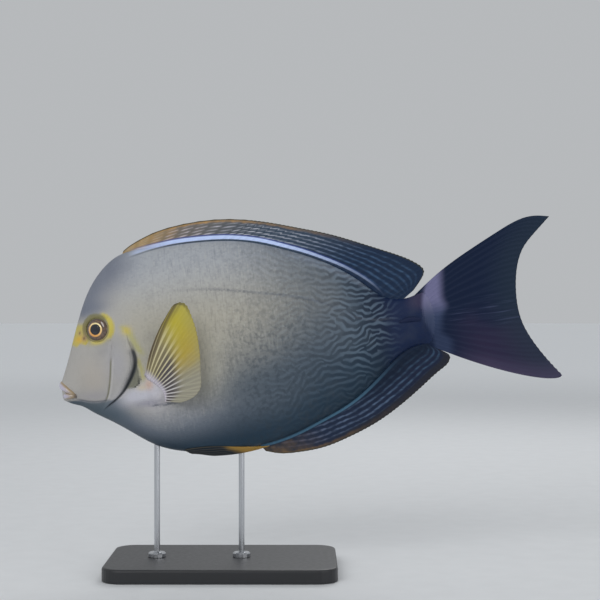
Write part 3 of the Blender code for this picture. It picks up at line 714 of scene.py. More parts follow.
def coat_grain(skin, u, v, wavy, lit):
    """Upright streaks, a dark mottle on mid flank, soft clouds and the tint of single scales."""
    streaks = skin.noise((0.6, 0.0, 0.09), 0.9, 2.0, 0.6)
    streaky = (1 - wavy * 0.7) * lit * (u.step(70, 125) * 0.85 + 0.15)
    skin.coat(STREAK_PALE, streaks.step(0.52, 0.75) * streaky * 0.26)
    skin.coat(STREAK_GREY, (1 - streaks.step(0.24, 0.48)) * streaky * 0.28)
    mottle = skin.noise(FLAT, 0.2, 3.0, 0.6).step(0.46, 0.62) * u.step(125, 185) * (1 - u.step(225, 275))
    skin.coat(MOTTLE, mottle * (1 - v.step(-10, 50) * 0.7) * 0.4)
    skin.coat(CLOUD_GREY, skin.noise(FLAT, 0.035, 3.0).step(0.52, 0.8) * 0.16)
    tint = skin.attribute("tint")
    skin.coat(SCALE_DARK, tint.step(0.5, 1.0) * 0.08)
    skin.coat(SCALE_PALE, (1 - tint.step(0.0, 0.5)) * 0.06 * lit)


def skin_finish():
    skin = fish_finish("surgeonfish skin", Specular_IOR_Level=0.22, Coat_Weight=0.05, Coat_Roughness=0.25)
    skin.colour = skin.attribute("paint", "Color")
    wavy = skin.attribute("wavy")
    lit = skin.node("ShaderNodeRGBToBW", {}, {0: skin.colour}).step(0.08, 0.3)
    u, v = (skin.node("ShaderNodeSeparateXYZ", {}, {0: skin.place}, axis) for axis in (0, 2))
    coat_wavy_lines(skin, u, v, wavy)
    coat_grain(skin, u, v, wavy, lit)
    coat_band(skin)
    grain = skin.noise((1.0, 1.0, 0.6), 1.3, 2.0, 0.6)
    skin.set(Base_Color=skin.colour, Roughness=grain * 0.24 + 0.36)
    skin.raised(grain)
    return skin.material


skin_material = skin_finish()

# %% [markdown]
# ## One skin
# The skin runs unbroken from the snout to the root of the tail fin, as on the fish. Section lines fan
# out so that one follows the fold of the cheek and one the gill opening, which keeps both edges crisp.
# Each section is a closed ring: up the left side, over the back and down the right.

# %% Loft the skin
SIDE_POINTS = 150


def between(first, second, share):
    return lambda v: first(v) * (1 - share) + second(v) * share


def beside(line, offset):
    """A line down the flank moved back by this offset, measured square to it."""

    def moved(v):
        slope = line(v + 0.5) - line(v - 0.5)
        return line(v) + offset * np.sqrt(1 + slope * slope)

    return moved


def upright(u):
    return lambda v: u + 0 * np.asarray(v, float)


def section(line, count):
    """The ring (u, y, v) where the body is cut along u = line(v)."""

    def meet(outline, low, high):
        for _ in range(40):
            middle = (low + high) / 2
            if middle > outline(line(middle)):
                high = middle
            else:
                low = middle
        return (low + high) / 2

    foot, crest = meet(belly, -110, -20), meet(back, -20, 110)
    turn = np.linspace(-math.pi / 2, math.pi / 2, count + 1)
    middle = np.clip(widest(line(0.0)), foot + 1, crest - 1)
    v = middle + np.where(turn > 0, crest - middle, middle - foot) * np.sin(turn)
    u = line(v)
    out = flank(u, v)
    out[[0, -1]] = 0
    left = np.stack([u, -out, v], axis=1)
    right = np.stack([u, out, v], axis=1)
    return np.concatenate([left, right[-2:0:-1]])


def spread(first, second, steps):
    return [between(first, second, share) for share in np.linspace(0, 1, steps + 1)[1:]]


def skin_lines():
    snout, edge = upright(SNOUT_U), beside(gill_line, -0.05)
    behind = beside(gill_line, 0.05)
    groove, shoulder, stalk = beside(gill_line, 6), upright(SHOULDER_U), upright(STALK_U)
    lines = [snout] + spread(snout, fold_line, 78) + spread(fold_line, edge, 30)
    lines += [behind] + spread(behind, groove, 12) + spread(groove, shoulder, 28)
    return lines + spread(shoulder, stalk, 104) + spread(stalk, stalk_end, 34)


def make_skin():
    rings = [section(line, SIDE_POINTS) for line in skin_lines()]
    count = len(rings[0])
    half = count // 2
    faces = tube_faces(len(rings), count)
    for start in (0, (len(rings) - 1) * count):
        ring = range(start, start + count)
        faces += [(ring[half - 1], ring[half], ring[half + 1]), (ring[1], ring[0], ring[-1])]
        faces += [(ring[j], ring[j + 1], ring[count - j - 1], ring[count - j]) for j in range(1, half - 1)]
    points = np.concatenate(rings)
    skin = piece("skin", in_model(points), faces, skin_material)
    u, _, v = points.T
    carry_skin(skin.data, u, v, skin_paint(u, v).colour, 0.5)
    dress(skin, "skin", "head", "gill_cover_left", "gill_cover_right", "trunk", "tail_stalk")
    print("skin:", len(points), "points,", len(faces), "faces")
    return skin


skin = make_skin()

# %% [markdown]
# ## Scales
# A surgeonfish's scales are tiny and rough, and lie like shingles with their free edges to the rear.
# Rows of seats follow the cross-sections, half a step apart from row to row, and keep off the lips,
# the eye and the folds. Geometry Nodes sets one scale on each seat. Every scale takes the paint at its
# root and the same finish as the skin, so the markings run on across the scales.

# %% Seat the scales
SCALE_STEP = 1.9
SCALE_LENGTH, SCALE_WIDTH = 1.5, 1.15
SCALE_AROUND = 8
ROW_POINTS = 160
PATCH = 0.0015


def bare(u, v):
    """Where the skin has no scales: eye, nostrils, lips, folds, gill slit and the blade's sheath."""
    here = from_eye(u, v) < EYE_RADIUS + 1.2
    for pit_u, pit_v, radius in NOSTRILS:
        here |= np.hypot(u - pit_u, v - pit_v) < radius * 2.4
    here |= np.hypot(u - 8, v + 24) < 13
    here |= (np.abs(u - gill_line(v) - 1.2) < 3) & (v > -45) & (v < 14)
    here |= (np.abs(u - fold_line(v)) < 1.6) & (v > -42) & (v < 8)
    here |= (np.abs(v - jaw_line(u)) < 1.4) & (u < 48)
    here |= (v > band_middle(u) - 4.5) & (u > 70)
    return here | (np.hypot((u - BLADE_U) / SHEATH_SIZE[0], (v - BLADE_V) / SHEATH_SIZE[1]) < 1)


def along_row(at, fine, row):
    """Values at shares of a row, from its values at the fine shares."""
    return np.stack([np.interp(at, fine, axis) for axis in row.T], axis=1)


def scale_rows():
    """Cross-sections of the left side, from belly to back, as rows of points at even steps."""
    fine = np.linspace(0, 1, ROW_POINTS + 1)
    rows = []
    for u in np.arange(9, 338, SCALE_STEP):
        half = section(upright(u), ROW_POINTS)[: ROW_POINTS + 1]
        reach = np.append(0, np.cumsum(np.linalg.norm(np.diff(half, axis=0), axis=1)))
        rows.append(along_row(fine * reach[-1], reach, half))
    return fine, np.array(rows)


def seat_turn(rearwards, outwards):
    """The turn that points a scale's length to the rear and its face out of the skin."""
    axes = in_model([rearwards, outwards]) - in_model([0, 0, 0])
    z_axis = Vector(axes[1]).normalized()
    x_axis = Vector(axes[0])
    x_axis = (x_axis - z_axis * x_axis.dot(z_axis)).normalized()
    return Matrix((x_axis, z_axis.cross(x_axis), z_axis)).transposed().to_euler()[:]


def scale_seats(side):
    """Places, turns and bake places of one side's scales, and the numbers' source for their tints."""
    fine, rows = scale_rows()
    tailwards, upwards = np.gradient(rows, axis=0), np.gradient(rows, axis=1)
    normals = np.cross(tailwards, upwards)
    mirror = np.array([1, -side, 1])
    rng = np.random.default_rng(11)
    place, turn, shares = [], [], []
    for i, row in enumerate(rows):
        girth = np.linalg.norm(np.diff(row, axis=0), axis=1).sum()
        count = int(girth / SCALE_STEP)
        at = (np.arange(1, count) + 0.5 * (i % 2) + rng.uniform(-0.12, 0.12, count - 1)) / (count + 0.5)
        seats = (along_row(at, fine, values) for values in (row, tailwards[i], normals[i]))
        for spot, rearwards, outwards, share in zip(*seats, at):
            if bare(spot[0], spot[2]):
                continue
            turn.append(seat_turn(rearwards * mirror, outwards * mirror))
            place.append(spot * mirror)
            bake_v = 0.5 + side * (0.02 + 0.22 * share)
            shares.append(((spot[0] - SNOUT_U) / 360 + 0.02, bake_v))
    return np.array(place), np.array(turn), np.array(shares), rng


def one_scale(finish):
    """A thin shield of 16 triangles with a raised rear edge. Its patch of the bake map rides on it."""
    points, patch = [(0.1, 0, 0.09)], [(0, 0)]
    for j in range(SCALE_AROUND):
        a = 2 * math.pi * j / SCALE_AROUND
        x, y = math.cos(a), math.sin(a)
        points.append((x * SCALE_LENGTH, y * SCALE_WIDTH * (1 + 0.12 * x), 0.02 + 0.05 * x))
        patch.append((x, y))
    points.append((0.1, 0, -0.08))
    patch.append((0, 0))
    faces = []
    for j in range(SCALE_AROUND):
        here, following = 1 + j, 1 + (j + 1) % SCALE_AROUND
        faces += [(0, here, following), (SCALE_AROUND + 1, following, here)]
    scale = piece("one_scale", np.array(points) * MM, faces, finish, sharp=60)
    for axis, values in zip("uv", np.array(patch).T * PATCH):
        carry(scale.data, "patch_" + axis, values)
    return scale


def setting_nodes():
    """Geometry Nodes that set one scale on each seat, turned and sized by the seat's own numbers."""
    group = bpy.data.node_groups.new("set the scales", "GeometryNodeTree")
    kinds = {"Seats": "Geometry", "Scale": "Object", "Finish": "Material", "Uneven": "Float", "Seed": "Int"}
    for name, kind in kinds.items():
        group.interface.new_socket(name, in_out="INPUT", socket_type="NodeSocket" + kind)
    group.interface.new_socket("Scales", in_out="OUTPUT", socket_type="NodeSocketGeometry")

    nodes = {}
    steps = [
        ("start", "NodeGroupInput", {}, {}),
        ("shape", "GeometryNodeObjectInfo", {}, {}),
        ("turn", "GeometryNodeInputNamedAttribute", {"data_type": "FLOAT_VECTOR"}, {"Name": "turn"}),
        ("rotation", "FunctionNodeEulerToRotation", {}, {}),
        ("size", "GeometryNodeInputNamedAttribute", {"data_type": "FLOAT"}, {"Name": "size"}),
        ("smallest", "ShaderNodeMath", {"operation": "SUBTRACT"}, {0: 1}),
        ("uneven", "FunctionNodeRandomValue", {"data_type": "FLOAT"}, {3: 1}),
        ("product", "ShaderNodeMath", {"operation": "MULTIPLY"}, {}),
        ("set", "GeometryNodeInstanceOnPoints", {}, {}),
        ("real", "GeometryNodeRealizeInstances", {}, {}),
        ("dressed", "GeometryNodeSetMaterial", {}, {}),
        ("end", "NodeGroupOutput", {}, {}),
    ]
    for key, kind, settings, sockets in steps:
        nodes[key] = group.nodes.new(kind)
        for name, value in settings.items():
            setattr(nodes[key], name, value)
        for name, value in sockets.items():
            nodes[key].inputs[name].default_value = value
    links = [
        ("start", "Scale", "shape", "Object"), ("start", "Uneven", "smallest", 1),
        ("smallest", 0, "uneven", 2), ("start", "Seed", "uneven", "Seed"),
        ("size", "Attribute", "product", 0), ("uneven", 1, "product", 1),
        ("turn", "Attribute", "rotation", 0), ("start", "Seats", "set", "Points"),
        ("shape", "Geometry", "set", "Instance"), ("rotation", 0, "set", "Rotation"),
        ("product", 0, "set", "Scale"), ("set", 0, "real", 0), ("real", 0, "dressed", "Geometry"),
        ("start", "Finish", "dressed", "Material"), ("dressed", 0, "end", "Scales"),
    ]
    for source, output, target, entry in links:
        group.links.new(nodes[source].outputs[output], nodes[target].inputs[entry])
    return group


# %% Set one piece of scales at a time


def set_scales(name, seats, group, values):
    """Turns one mesh of seats into a finished mesh of scales with its bake map."""
    modifier = seats.modifiers.new("scales", "NODES")
    modifier.node_group = group
    for item in group.interface.items_tree:
        if item.in_out == "INPUT" and item.name in values:
            modifier[item.identifier] = values[item.name]
    graph = bpy.context.evaluated_depsgraph_get()
    mesh = bpy.data.meshes.new_from_object(seats.evaluated_get(graph), depsgraph=graph)
    mesh.name = name
    bpy.data.objects.remove(seats)
    numbers = {}
    for key in ("root_u", "root_v", "patch_u", "patch_v"):
        numbers[key] = np.empty(len(mesh.vertices), np.float32)
        mesh.attributes[key].data.foreach_get("value", numbers[key])
    for key in (*numbers, "turn", "size"):
        mesh.attributes.remove(mesh.attributes[key])
    corners = np.empty(len(mesh.loops), np.int32)
    mesh.loops.foreach_get("vertex_index", corners)
    bake = np.stack([numbers["root_" + c] + numbers["patch_" + c] for c in "uv"], axis=1)[corners]
    mesh.uv_layers.new(name="OFBake").data.foreach_set("uv", bake.ravel())
    dress(show(name, mesh), "skin")
    print(name, "has", len(mesh.polygons), "faces")


def make_scales():
    group, scale = setting_nodes(), one_scale(skin_material)
    values = {"Scale": scale, "Finish": skin_material, "Uneven": 0.22, "Seed": 5}
    lengths = {"front": (0, 130), "middle": (130, 220), "rear": (220, 400)}
    for side_name, side in SIDES.items():
        place, turn, shares, rng = scale_seats(side)
        for part_name, (start, end) in lengths.items():
            here = (place[:, 0] >= start) & (place[:, 0] < end)
            name = f"scales_{side_name}_{part_name}"
            mesh = bpy.data.meshes.new(name + "_seats")
            mesh.from_pydata(in_model(place[here]).tolist(), [], [])
            turns = mesh.attributes.new("turn", "FLOAT_VECTOR", "POINT")
            turns.data.foreach_set("vector", turn[here].astype(np.float32).ravel())
            u, _, v = place[here].T
            carry(mesh, "size", 0.72 + 0.28 * ramp(u, 40, 110))
            carry(mesh, "root_u", shares[here, 0])
            carry(mesh, "root_v", shares[here, 1])
            calm = 0.35 + 0.65 * ramp(u, 45, 110)
            tint = 0.5 + rng.uniform(-0.5, 0.5, len(u)) * calm
            carry_skin(mesh, u, v, skin_paint(u, v).colour, tint)
            set_scales(name, show(name + "_seats", mesh), group, values)
    bpy.data.objects.remove(scale)


make_scales()

# %% [markdown]
# ## Rayed fins
# A fin is a thin web over many rays. The soft rays split in two towards the edge and the spines don't.
# One function raises every ray as a ridge in the fin's own surface, on both faces at once, and leaves
# a fine fringe along the free edge. It carries the place along the base and out along the rays.

# %% A fin from its rays


def ray_fin(name, place, rays, soft_from, ridge, web, finish, rows=36, per_ray=10, split=0.24, fringe=0.012):
    """A thin web with a ridge for each ray. ridge and web are half heights at root and tip.

    rays holds the rays' places along the base, and the soft ones start at soft_from.
    """
    rays = np.array(rays)
    index = np.linspace(0, len(rays) - 1, (len(rays) - 1) * per_ray + 1)
    s = np.interp(index, np.arange(len(rays)), rays)[:, None]
    near = (index - np.round(index))[:, None]
    soft = ramp(s, soft_from - 0.02, soft_from + 0.02)
    t = np.linspace(0, 1, rows + 1)[None, :] ** 0.9
    apart = split * ramp(t, 0.35, 0.95) * soft
    width = 0.2 - 0.07 * t * soft
    crest = np.maximum(bump(near - apart, width), bump(near + apart, width))
    reach = t * (1 - fringe * (1 - crest) * ramp(t, 0.8, 1))
    middle = place(s, reach)
    step = 0.004
    along = place(np.clip(s + step, 0, 1), reach) - place(np.clip(s - step, 0, 1), reach)
    across = place(s, np.clip(reach + step, 0, 1)) - place(s, np.clip(reach - step, 0, 1))
    normal = np.cross(along, across)
    normal /= np.linalg.norm(normal, axis=-1, keepdims=True)
    thin = web[0] + (web[1] - web[0]) * t
    tall = ridge[0] + (ridge[1] - ridge[0]) * t
    half = thin + (tall - thin) * crest
    count, length = half.shape
    sides = [middle + normal * half[..., None], middle - normal * half[..., None]]
    points = np.concatenate([side.reshape(-1, 3) for side in sides])
    size = count * length
    faces = []
    for c in range(count - 1):
        for r in range(length - 1):
            a = c * length + r
            quad = (a, a + 1, a + length + 1, a + length)
            faces += [quad, tuple(size + i for i in quad[::-1])]
    edge = list(range(length))
    edge += [c * length + length - 1 for c in range(1, count)]
    edge += [(count - 1) * length + r for r in range(length - 2, -1, -1)]
    edge += [c * length for c in range(count - 2, 0, -1)]
    faces += [(a, b, size + b, size + a) for a, b in zip(edge, edge[1:] + edge[:1])]
    fin = piece(name, in_model(points), faces, finish)
    base = place(s, 0 * t)
    rise = np.linalg.norm(middle - base, axis=-1)
    inward = np.linalg.norm(middle - place(s, 1 + 0 * t), axis=-1)
    gap = (index - np.floor(index))[:, None] + 0 * t
    numbers = {"along": s + 0 * t, "out": t + 0 * s, "crest": crest}
    numbers.update(rise=rise, gap=gap, inward=inward)
    for key, values in numbers.items():
        carry(fin.data, key, np.tile(values.ravel(), 2))
    carry_band(fin.data, points[:, 0], points[:, 2])
    print(name, "has", len(rays), "rays and", len(faces), "faces")
    return fin, points


def spaced(*groups):
    """Places of rays along a fin's base, from groups of (count, share of the base)."""
    places = [0.0]
    for count, share in groups:
        last = places[-1]
        places += [last + share * (i + 1) / count for i in range(count)]
    return [p / places[-1] for p in places]


# %% [markdown]
# ## Dorsal and anal fins
# Both stand on the middle plane. The dorsal fin has nine spines, then soft rays that sweep back. Its
# stripes run along the body: a pale blue band at the root, then thin blue-grey lines on navy, with an
# ochre front. The anal fin repeats them more darkly, over a pale line at its root.

# %% Finishes of the two fins


def striped_finish(name, ground, line, stripes, warm_edge):
    """ground and line: colours along the base; stripes: what they follow, rows, lean, end, gaps, cuts."""
    measure, rows, slant, outer_end, gaps, cuts = stripes
    fin = fish_finish(name, Roughness=0.55, Specular_IOR_Level=0.2)
    along, out, crest, gap = fin.attributes("along", "out", "crest", "gap")
    followed = fin.attribute(measure)
    wander = fin.noise((0.05, 0.0, 0.12))
    slope = gap * (1 - along.step(0.3, 0.72)) * slant
    wave = (followed * rows * (along * 0.25 + 0.9) + wander * 0.6 - slope).math("FRACT")
    cut = (1 - crest * (1 - along.step(0.3, 0.6)) * cuts) * (1 - along.step(0.9, 0.98) * 0.9)
    stripe = wave.step(0.2, 0.46) * (1 - wave.step(0.54, 0.8)) * cut
    broken = fin.noise((0.09, 0.0, 0.34), detail=3.0).step(0.36, 0.62)
    stripe = stripe * (broken * gaps + (1 - gaps)) * out.step(0.1, 0.2) * (1 - followed.step(*outer_end))
    fin.colour = fin.run(along, *ground)
    patch = fin.noise((0.12, 0.0, 0.12)).step(0.25, 0.8)
    fin.coat(warm_edge, (1 - along.step(0.0, 0.3)) * patch * 0.7)
    start, end = ground[1][0], ground[-1][0]
    strong = (along.step(start * 0.4, start) * 0.55 + 0.25) * (1 - along.step(0.55, 0.95) * 0.35)
    fin.coat(fin.run(along, *line), stripe * strong)
    edge = (out + patch * 0.04).step(0.84, 0.94) * (1 - along.step(0.2, end)) * (patch * 0.5 + 0.4)
    fin.coat(warm_edge, edge)
    fin.coat(tone(58, 58, 46), (1 - fin.attribute("inward").step(0.8, 2.2)) * 0.85)
    fin.coat(tone(30, 34, 40), crest * 0.12)
    fin.ray_relief(70.0, 0.15, 1.6)
    return fin


def dorsal_finish():
    ground = ((0.04, tone(158, 138, 100)), (0.22, tone(104, 103, 102)), (0.5, tone(56, 72, 90)))
    ground += ((0.78, tone(17, 38, 65)),)
    line = ((0.1, tone(216, 198, 202)), (0.4, tone(198, 200, 212)), (0.8, tone(70, 100, 134)))
    stripes = ("out", 6.8, 0.6, (0.74, 0.92), 0.7, 1)
    fin = striped_finish("dorsal fin", ground, line, stripes, tone(188, 146, 88))
    coat_band(fin)
    fin.set(Base_Color=fin.colour)
    return fin.material


def anal_finish():
    ground = ((0.0, tone(48, 52, 60)), (0.3, tone(24, 38, 62)), (0.8, tone(18, 30, 56)))
    line = ((0.0, tone(124, 110, 118)), (0.4, tone(94, 112, 140)), (0.9, tone(66, 94, 122)))
    stripes = ("inward", 0.18, 0.12, (8.5, 6), 0.7, 0.3)
    fin = striped_finish("anal fin", ground, line, stripes, tone(122, 96, 62))
    rise, along = fin.attribute("rise"), fin.attribute("along")
    margin = 1 - fin.attribute("inward").step(5, 9)
    fin.coat(tone(36, 36, 42), margin * along.step(0.2, 0.5) * 0.7)
    shaded = (1 - fin.attribute("out").step(0.2, 0.6)) * along.step(0.4, 0.75)
    fin.coat(tone(0, 20, 42), shaded * 0.85)
    pale = 1 - (rise - along * 0.9 - 2.2).math("ABSOLUTE").step(0.8, 1.9)
    fin.coat(tone(12, 30, 54), 1 - rise.step(3.2, 5.5))
    fin.coat(tone(78, 118, 144), pale * (1 - along.step(0.45, 0.85)) * 0.8)
    fin.set(Base_Color=fin.colour)
    return fin.material


dorsal_material, anal_material = dorsal_finish(), anal_finish()

# %% Make the two fins


def middle_fin(name, rays, base, margin, lean, **shape):
    """A fin on the middle plane, from base(s) on the body's edge to margin(s) along its free edge."""

    def place(s, t):
        root, tip = base(s), margin(s**lean)
        flat = root * (1 - t[..., None]) + tip * t[..., None]
        return np.stack([flat[..., 0], 0 * flat[..., 0], flat[..., 1]], axis=-1)

    return ray_fin(name, place, rays, **shape)[0]


ROOT_SUNK = 0.8


def dorsal_base(s):
    u = 73.5 + (318 - 73.5) * s
    return np.stack([u, back(u) - ROOT_SUNK], axis=-1)


def anal_base(s):
    u = 172 + (338 - 172) * s
    return np.stack([u, belly(u) + ROOT_SUNK + 2.4 * ramp(u, 322, 338)], axis=-1)


dorsal_margin = path([
    (75, 94.9), (80, 98.1), (90, 102.6), (102, 106.8), (121, 110.5), (143, 112), (166, 111.1), (189, 107.3),
    (211, 101.4), (235, 93.4), (262, 83.8), (284, 74), (306, 63.6), (323, 55.2), (335, 47.4),
    (340.6, 40), (337, 32.6), (328.5, 23.4),
])
anal_margin = path([
    (177, -101.2), (190, -105.2), (204, -106.3), (230, -105), (253, -99.2), (277, -90.7),
    (302, -77.8), (328, -60.8), (343, -50.8), (352, -43.6), (353, -39.5), (349.5, -35.8),
    (341.5, -29.8),
])
dorsal_rays, anal_rays = spaced((8, 0.36), (26, 0.64)), spaced((3, 0.1), (24, 0.9))
dorsal_fin = middle_fin(
    "dorsal_fin_rayed", dorsal_rays, dorsal_base, dorsal_margin, 0.95,
    soft_from=0.37, ridge=(0.85, 0.36), web=(0.5, 0.26), finish=dorsal_material,
)
dress(dorsal_fin, "dark_fin", "dorsal_fin")
anal_fin = middle_fin(
    "anal_fin_rayed", anal_rays, anal_base, anal_margin, 0.95,
    soft_from=0.1, ridge=(0.85, 0.36), web=(0.5, 0.26), finish=anal_material,
)
dress(anal_fin, "dark_fin", "anal_fin")

# %% [markdown]
# ## The tail fin
# The crescent tail has long outer rays bowed outwards and short middle ones. It is navy above and plum
# below, with a pale lavender band over its root and faint lighter rays across the middle.

# %% Make the tail fin


def tail_finish():
    fin = fish_finish("tail fin", Roughness=0.6, Specular_IOR_Level=0.12)
    along, out, crest = fin.attributes("along", "out", "crest")
    cloud = fin.noise((0.03, 0.0, 0.05), detail=3.0)
    low = (along + cloud * 0.3).step(0.62, 0.95) * out.step(0.12, 0.5)
    fin.colour = fin.mix(tone(14, 28, 54), tone(42, 38, 64), low)
    fin.coat(tone(38, 52, 64), out.step(0.55, 1.0) * 0.55)
    fin.coat(tone(80, 72, 98), low * along.step(0.84, 1.0) * 0.5)
    middle = along.step(0.42, 0.5) * (1 - along.step(0.58, 0.68))
    streak = fin.noise((0.025, 0.0, 0.55)).step(0.52, 0.7)
    fin.coat(tone(80, 88, 120), middle * streak * out.step(0.15, 0.3) * 0.35)
    fin.coat(tone(70, 80, 104), crest * 0.08)
    fin.coat(fin.attribute("paint", "Color"), fin.attribute("cover"))
    fin.set(Base_Color=fin.colour)
    fin.ray_relief(160.0, 0.2, 1.4)
    return fin.material


TAIL_TOP, TAIL_FOOT = 24.6, -26.2
LOWER_BOW = 22.5
upper_rise = spline([
    (0, 0), (0.1, 4.2), (0.2, 7.6), (0.36, 10.6), (0.5, 11.9), (0.62, 12.7), (0.745, 12.9), (0.83, 11.3),
    (0.91, 7.2), (1, 0),
])
tail_margin = path([
    (458.8, 72.5), (445, 60.8), (431.5, 47.4), (424, 31.6), (420.4, 14), (419.6, -3), (421.6, -18),
    (428, -34.6), (439, -53.6), (450.6, -70),
])


def tail_place(s, t):
    v = TAIL_TOP + (TAIL_FOOT - TAIL_TOP) * s
    u = stalk_end(v) - 6 - 7 * (1 - ramp(s, 0, 0.1)) - 2 * ramp(s, 0.9, 1)
    root = np.stack([u, np.clip(v, belly(u) + 0.6, back(u) - 0.6)], axis=-1)
    tip = tail_margin(s)
    flat = root * (1 - t[..., None]) + tip * t[..., None]
    rise = upper_rise(t) * np.clip(1 - 2 * s, 0, 1) ** 1.3
    rise = rise - LOWER_BOW * t**0.9 * np.sqrt(np.clip(1 - t, 0, 1)) * np.clip(2 * s - 1, 0, 1) ** 1.3
    return np.stack([flat[..., 0], 0 * flat[..., 0], flat[..., 1] + rise], axis=-1)


tail_fin, tail_spots = ray_fin(
    "tail_fin_rayed", tail_place, spaced((17, 1)), 0.0, (0.95, 0.36), (0.7, 0.26), tail_finish(),
    rows=64, per_ray=18, split=0.26, fringe=0.0015,
)
band_colour, band_cover = tail_band(tail_spots[:, 0], tail_spots[:, 2])
carry(tail_fin.data, "paint", band_colour)
carry(tail_fin.data, "cover", band_cover)
dress(tail_fin, "dark_fin", "tail_fin")

# %% [markdown]
# ## Side fins
# The yellow fins that name the fish stand out behind the gill opening. Cream rays fan from a fleshy pad,
# with dark gaps of painted shade between them where the shaded flank shows through the clear membrane,
# and the outer two thirds are olive yellow behind a dark leading edge.

# %% Make the side fins


def pectoral_finish():
    fin = fish_finish("side fin", Roughness=0.45, Specular_IOR_Level=0.35)
    along, out, crest = fin.attributes("along", "out", "crest")
    cloud = fin.noise((0.06, 0.06, 0.06))
    yellow = fin.mix(tone(186, 172, 52), tone(178, 156, 66), along.step(0.1, 0.5))
    yellow = fin.mix(yellow, tone(156, 154, 104), (out + cloud * 0.2).step(0.85, 1.15) * 0.4)
    dusky = fin.mix(tone(148, 144, 128), tone(166, 162, 146), crest.step(0.2, 0.8) * 0.5)
    outer = fin.mix(yellow, dusky, (along + cloud * 0.14).step(0.5, 0.78))
    # The dark gaps between rays are painted shade: the flank in the fin's shade, seen through the membrane.
    gaps = fin.mix(tone(134, 124, 92), tone(84, 78, 80), along.step(0.15, 0.42))
    gaps = fin.mix(gaps, tone(146, 136, 92), out.step(0.36, 0.66))
    light = fin.mix(tone(208, 198, 158), tone(206, 202, 204), along.step(0.3, 0.7))
    rays = fin.mix(gaps, light, crest.step(0.2, 0.7))
    inner = 1 - (out + along * 0.3 + cloud * 0.16).step(0.54, 0.92)
    fin.colour = fin.mix(outer, rays, inner)
    fin.coat(tone(206, 196, 130), crest * 0.06)
    fin.coat(tone(200, 194, 204), 1 - out.step(0.03, 0.14))
    lead = 1 - (along - out * 0.03).step(0.05, 0.14)
    lead = lead * (1 - crest.step(0.3, 0.9) * along.step(0.03, 0.06) * 0.4)
    fin.coat(tone(82, 68, 52), lead * (out.step(0.08, 0.35) * 0.65 + 0.2))
    tip = out.step(0.955, 0.985) * (1 - along.step(0.12, 0.3))
    fin.coat(tone(84, 78, 44), tip * 0.7)
    fin.set(Base_Color=fin.colour)
    fin.ray_relief(110.0, 0.2, 1.6)
    return fin.material


FLAP = 0.07
FLARE, CURL = 0.62, 26
LEAD_BOW = 2.8
pectoral_root = path([(83.5, -14), (90.5, -21.5), (95.5, -28), (98, -35.5), (97, -43)])
pectoral_margin = path([
    (113, 34), (121.5, 41.5), (127.5, 40.5), (131.6, 32), (134, 20), (134.8, 6), (134.2, -8),
    (132.6, -22), (129.5, -36), (121, -42.6), (110, -45.4),
])


def pectoral_place(side):
    def place(s, t):
        root, tip = pectoral_root(s), pectoral_margin(s)
        reach = tip - root
        length = np.linalg.norm(reach, axis=-1)
        along = (t - FLAP) / (1 - FLAP)
        flat = root + reach * np.where(along < 0, along * 0.9, along)[..., None]
        bow = LEAD_BOW * 4 * np.clip(along, 0, 1) * np.clip(1 - along, 0, 1) * (1 - ramp(s, 0, 0.6))
        flat = flat + bow[..., None] * np.array([-0.85, 0.5])
        free = np.maximum(along, 0) * length
        skin_out = flank(flat[..., 0], flat[..., 1])
        base_out = flank(root[..., 0], root[..., 1])
        lift = FLARE * free - free**2 / (2 * CURL * 8)
        out = np.where(along > 0, base_out + lift, skin_out) + 1.2 - 1.7 * (1 - ramp(t, 0, FLAP))
        return np.stack([flat[..., 0], side * out, flat[..., 1]], axis=-1)

    return place


pectoral_material = pectoral_finish()
for side_name, side in SIDES.items():
    fin, _ = ray_fin(
        f"side_fin_{side_name}", pectoral_place(side), spaced((15, 1)), 0.1, (1.0, 0.38), (0.5, 0.26),
        pectoral_material, rows=44, per_ray=12, split=0.25, fringe=0.008,
    )
    dress(fin, "yellow_fin", f"pectoral_fin_{side_name}")

# %% [markdown]
# ## Belly fins
# The small belly fins lie folded back along the belly, one strong spine and five soft rays each. They
# are dark at the root and ochre towards the tip.

# %% Make the belly fins


def underside(u, y):
    """How low the body reaches at a place seen from below."""
    low, high = belly(u), widest(u)
    for _ in range(40):
        middle = (low + high) / 2
        outside = flank(u, middle) < abs(y)
        low, high = np.where(outside, middle, low), np.where(outside, high, middle)
    return (low + high) / 2


def pelvic_finish():
    fin = fish_finish("belly fin", Roughness=0.55, Specular_IOR_Level=0.2)
    out, crest = fin.attribute("out"), fin.attribute("crest")
    cloud = fin.noise((0.08, 0.08, 0.08))
    fin.colour = fin.mix(tone(38, 46, 54), tone(162, 128, 62), (out + cloud * 0.2).step(0.62, 0.86))
    fin.coat(tone(120, 108, 84), crest * 0.2)
    fin.set(Base_Color=fin.colour)
    fin.raised((out * 80.0).math("SINE") * crest * 0.2)
    return fin.material


def pelvic_place(side):
    def place(s, t):
        u = 106 + 5 * (1 - s) + (70 - 14 * s) * t
        y = 4.3 + (12.5 - 4.3) * s * (0.55 + 0.45 * np.sin(math.pi * np.clip(t, 0, 1) ** 0.8)) - 1.2 * t * s
        hang = np.sin(math.pi * np.clip(0.15 + 0.6 * t, 0, 1)) * ramp(t, 0.03, 0.3)
        return np.stack([u, side * y, underside(u, y) - 1.5 - 2.6 * (1 - s) * hang], axis=-1)

    return place


pelvic_material = pelvic_finish()
for side_name, side in SIDES.items():
    fin, _ = ray_fin(
        f"belly_fin_{side_name}", pelvic_place(side), spaced((5, 1)), 0.1, (1.0, 0.42), (0.45, 0.3),
        pelvic_material, rows=40, per_ray=12, split=0.24, fringe=0.01,
    )
    dress(fin, "dark_fin", f"pelvic_fin_{side_name}")

# %% [markdown]
# ## Eyes
# The eye is a glossy flattened ball. A round pupil sits in a thin cream and orange ring, then a broad
# brown iris and an olive rim. The rings are thin steps of relief too, and the colours follow the
# distance from the eye's axis, which the mesh carries.

# %% Make the eyes and their rims


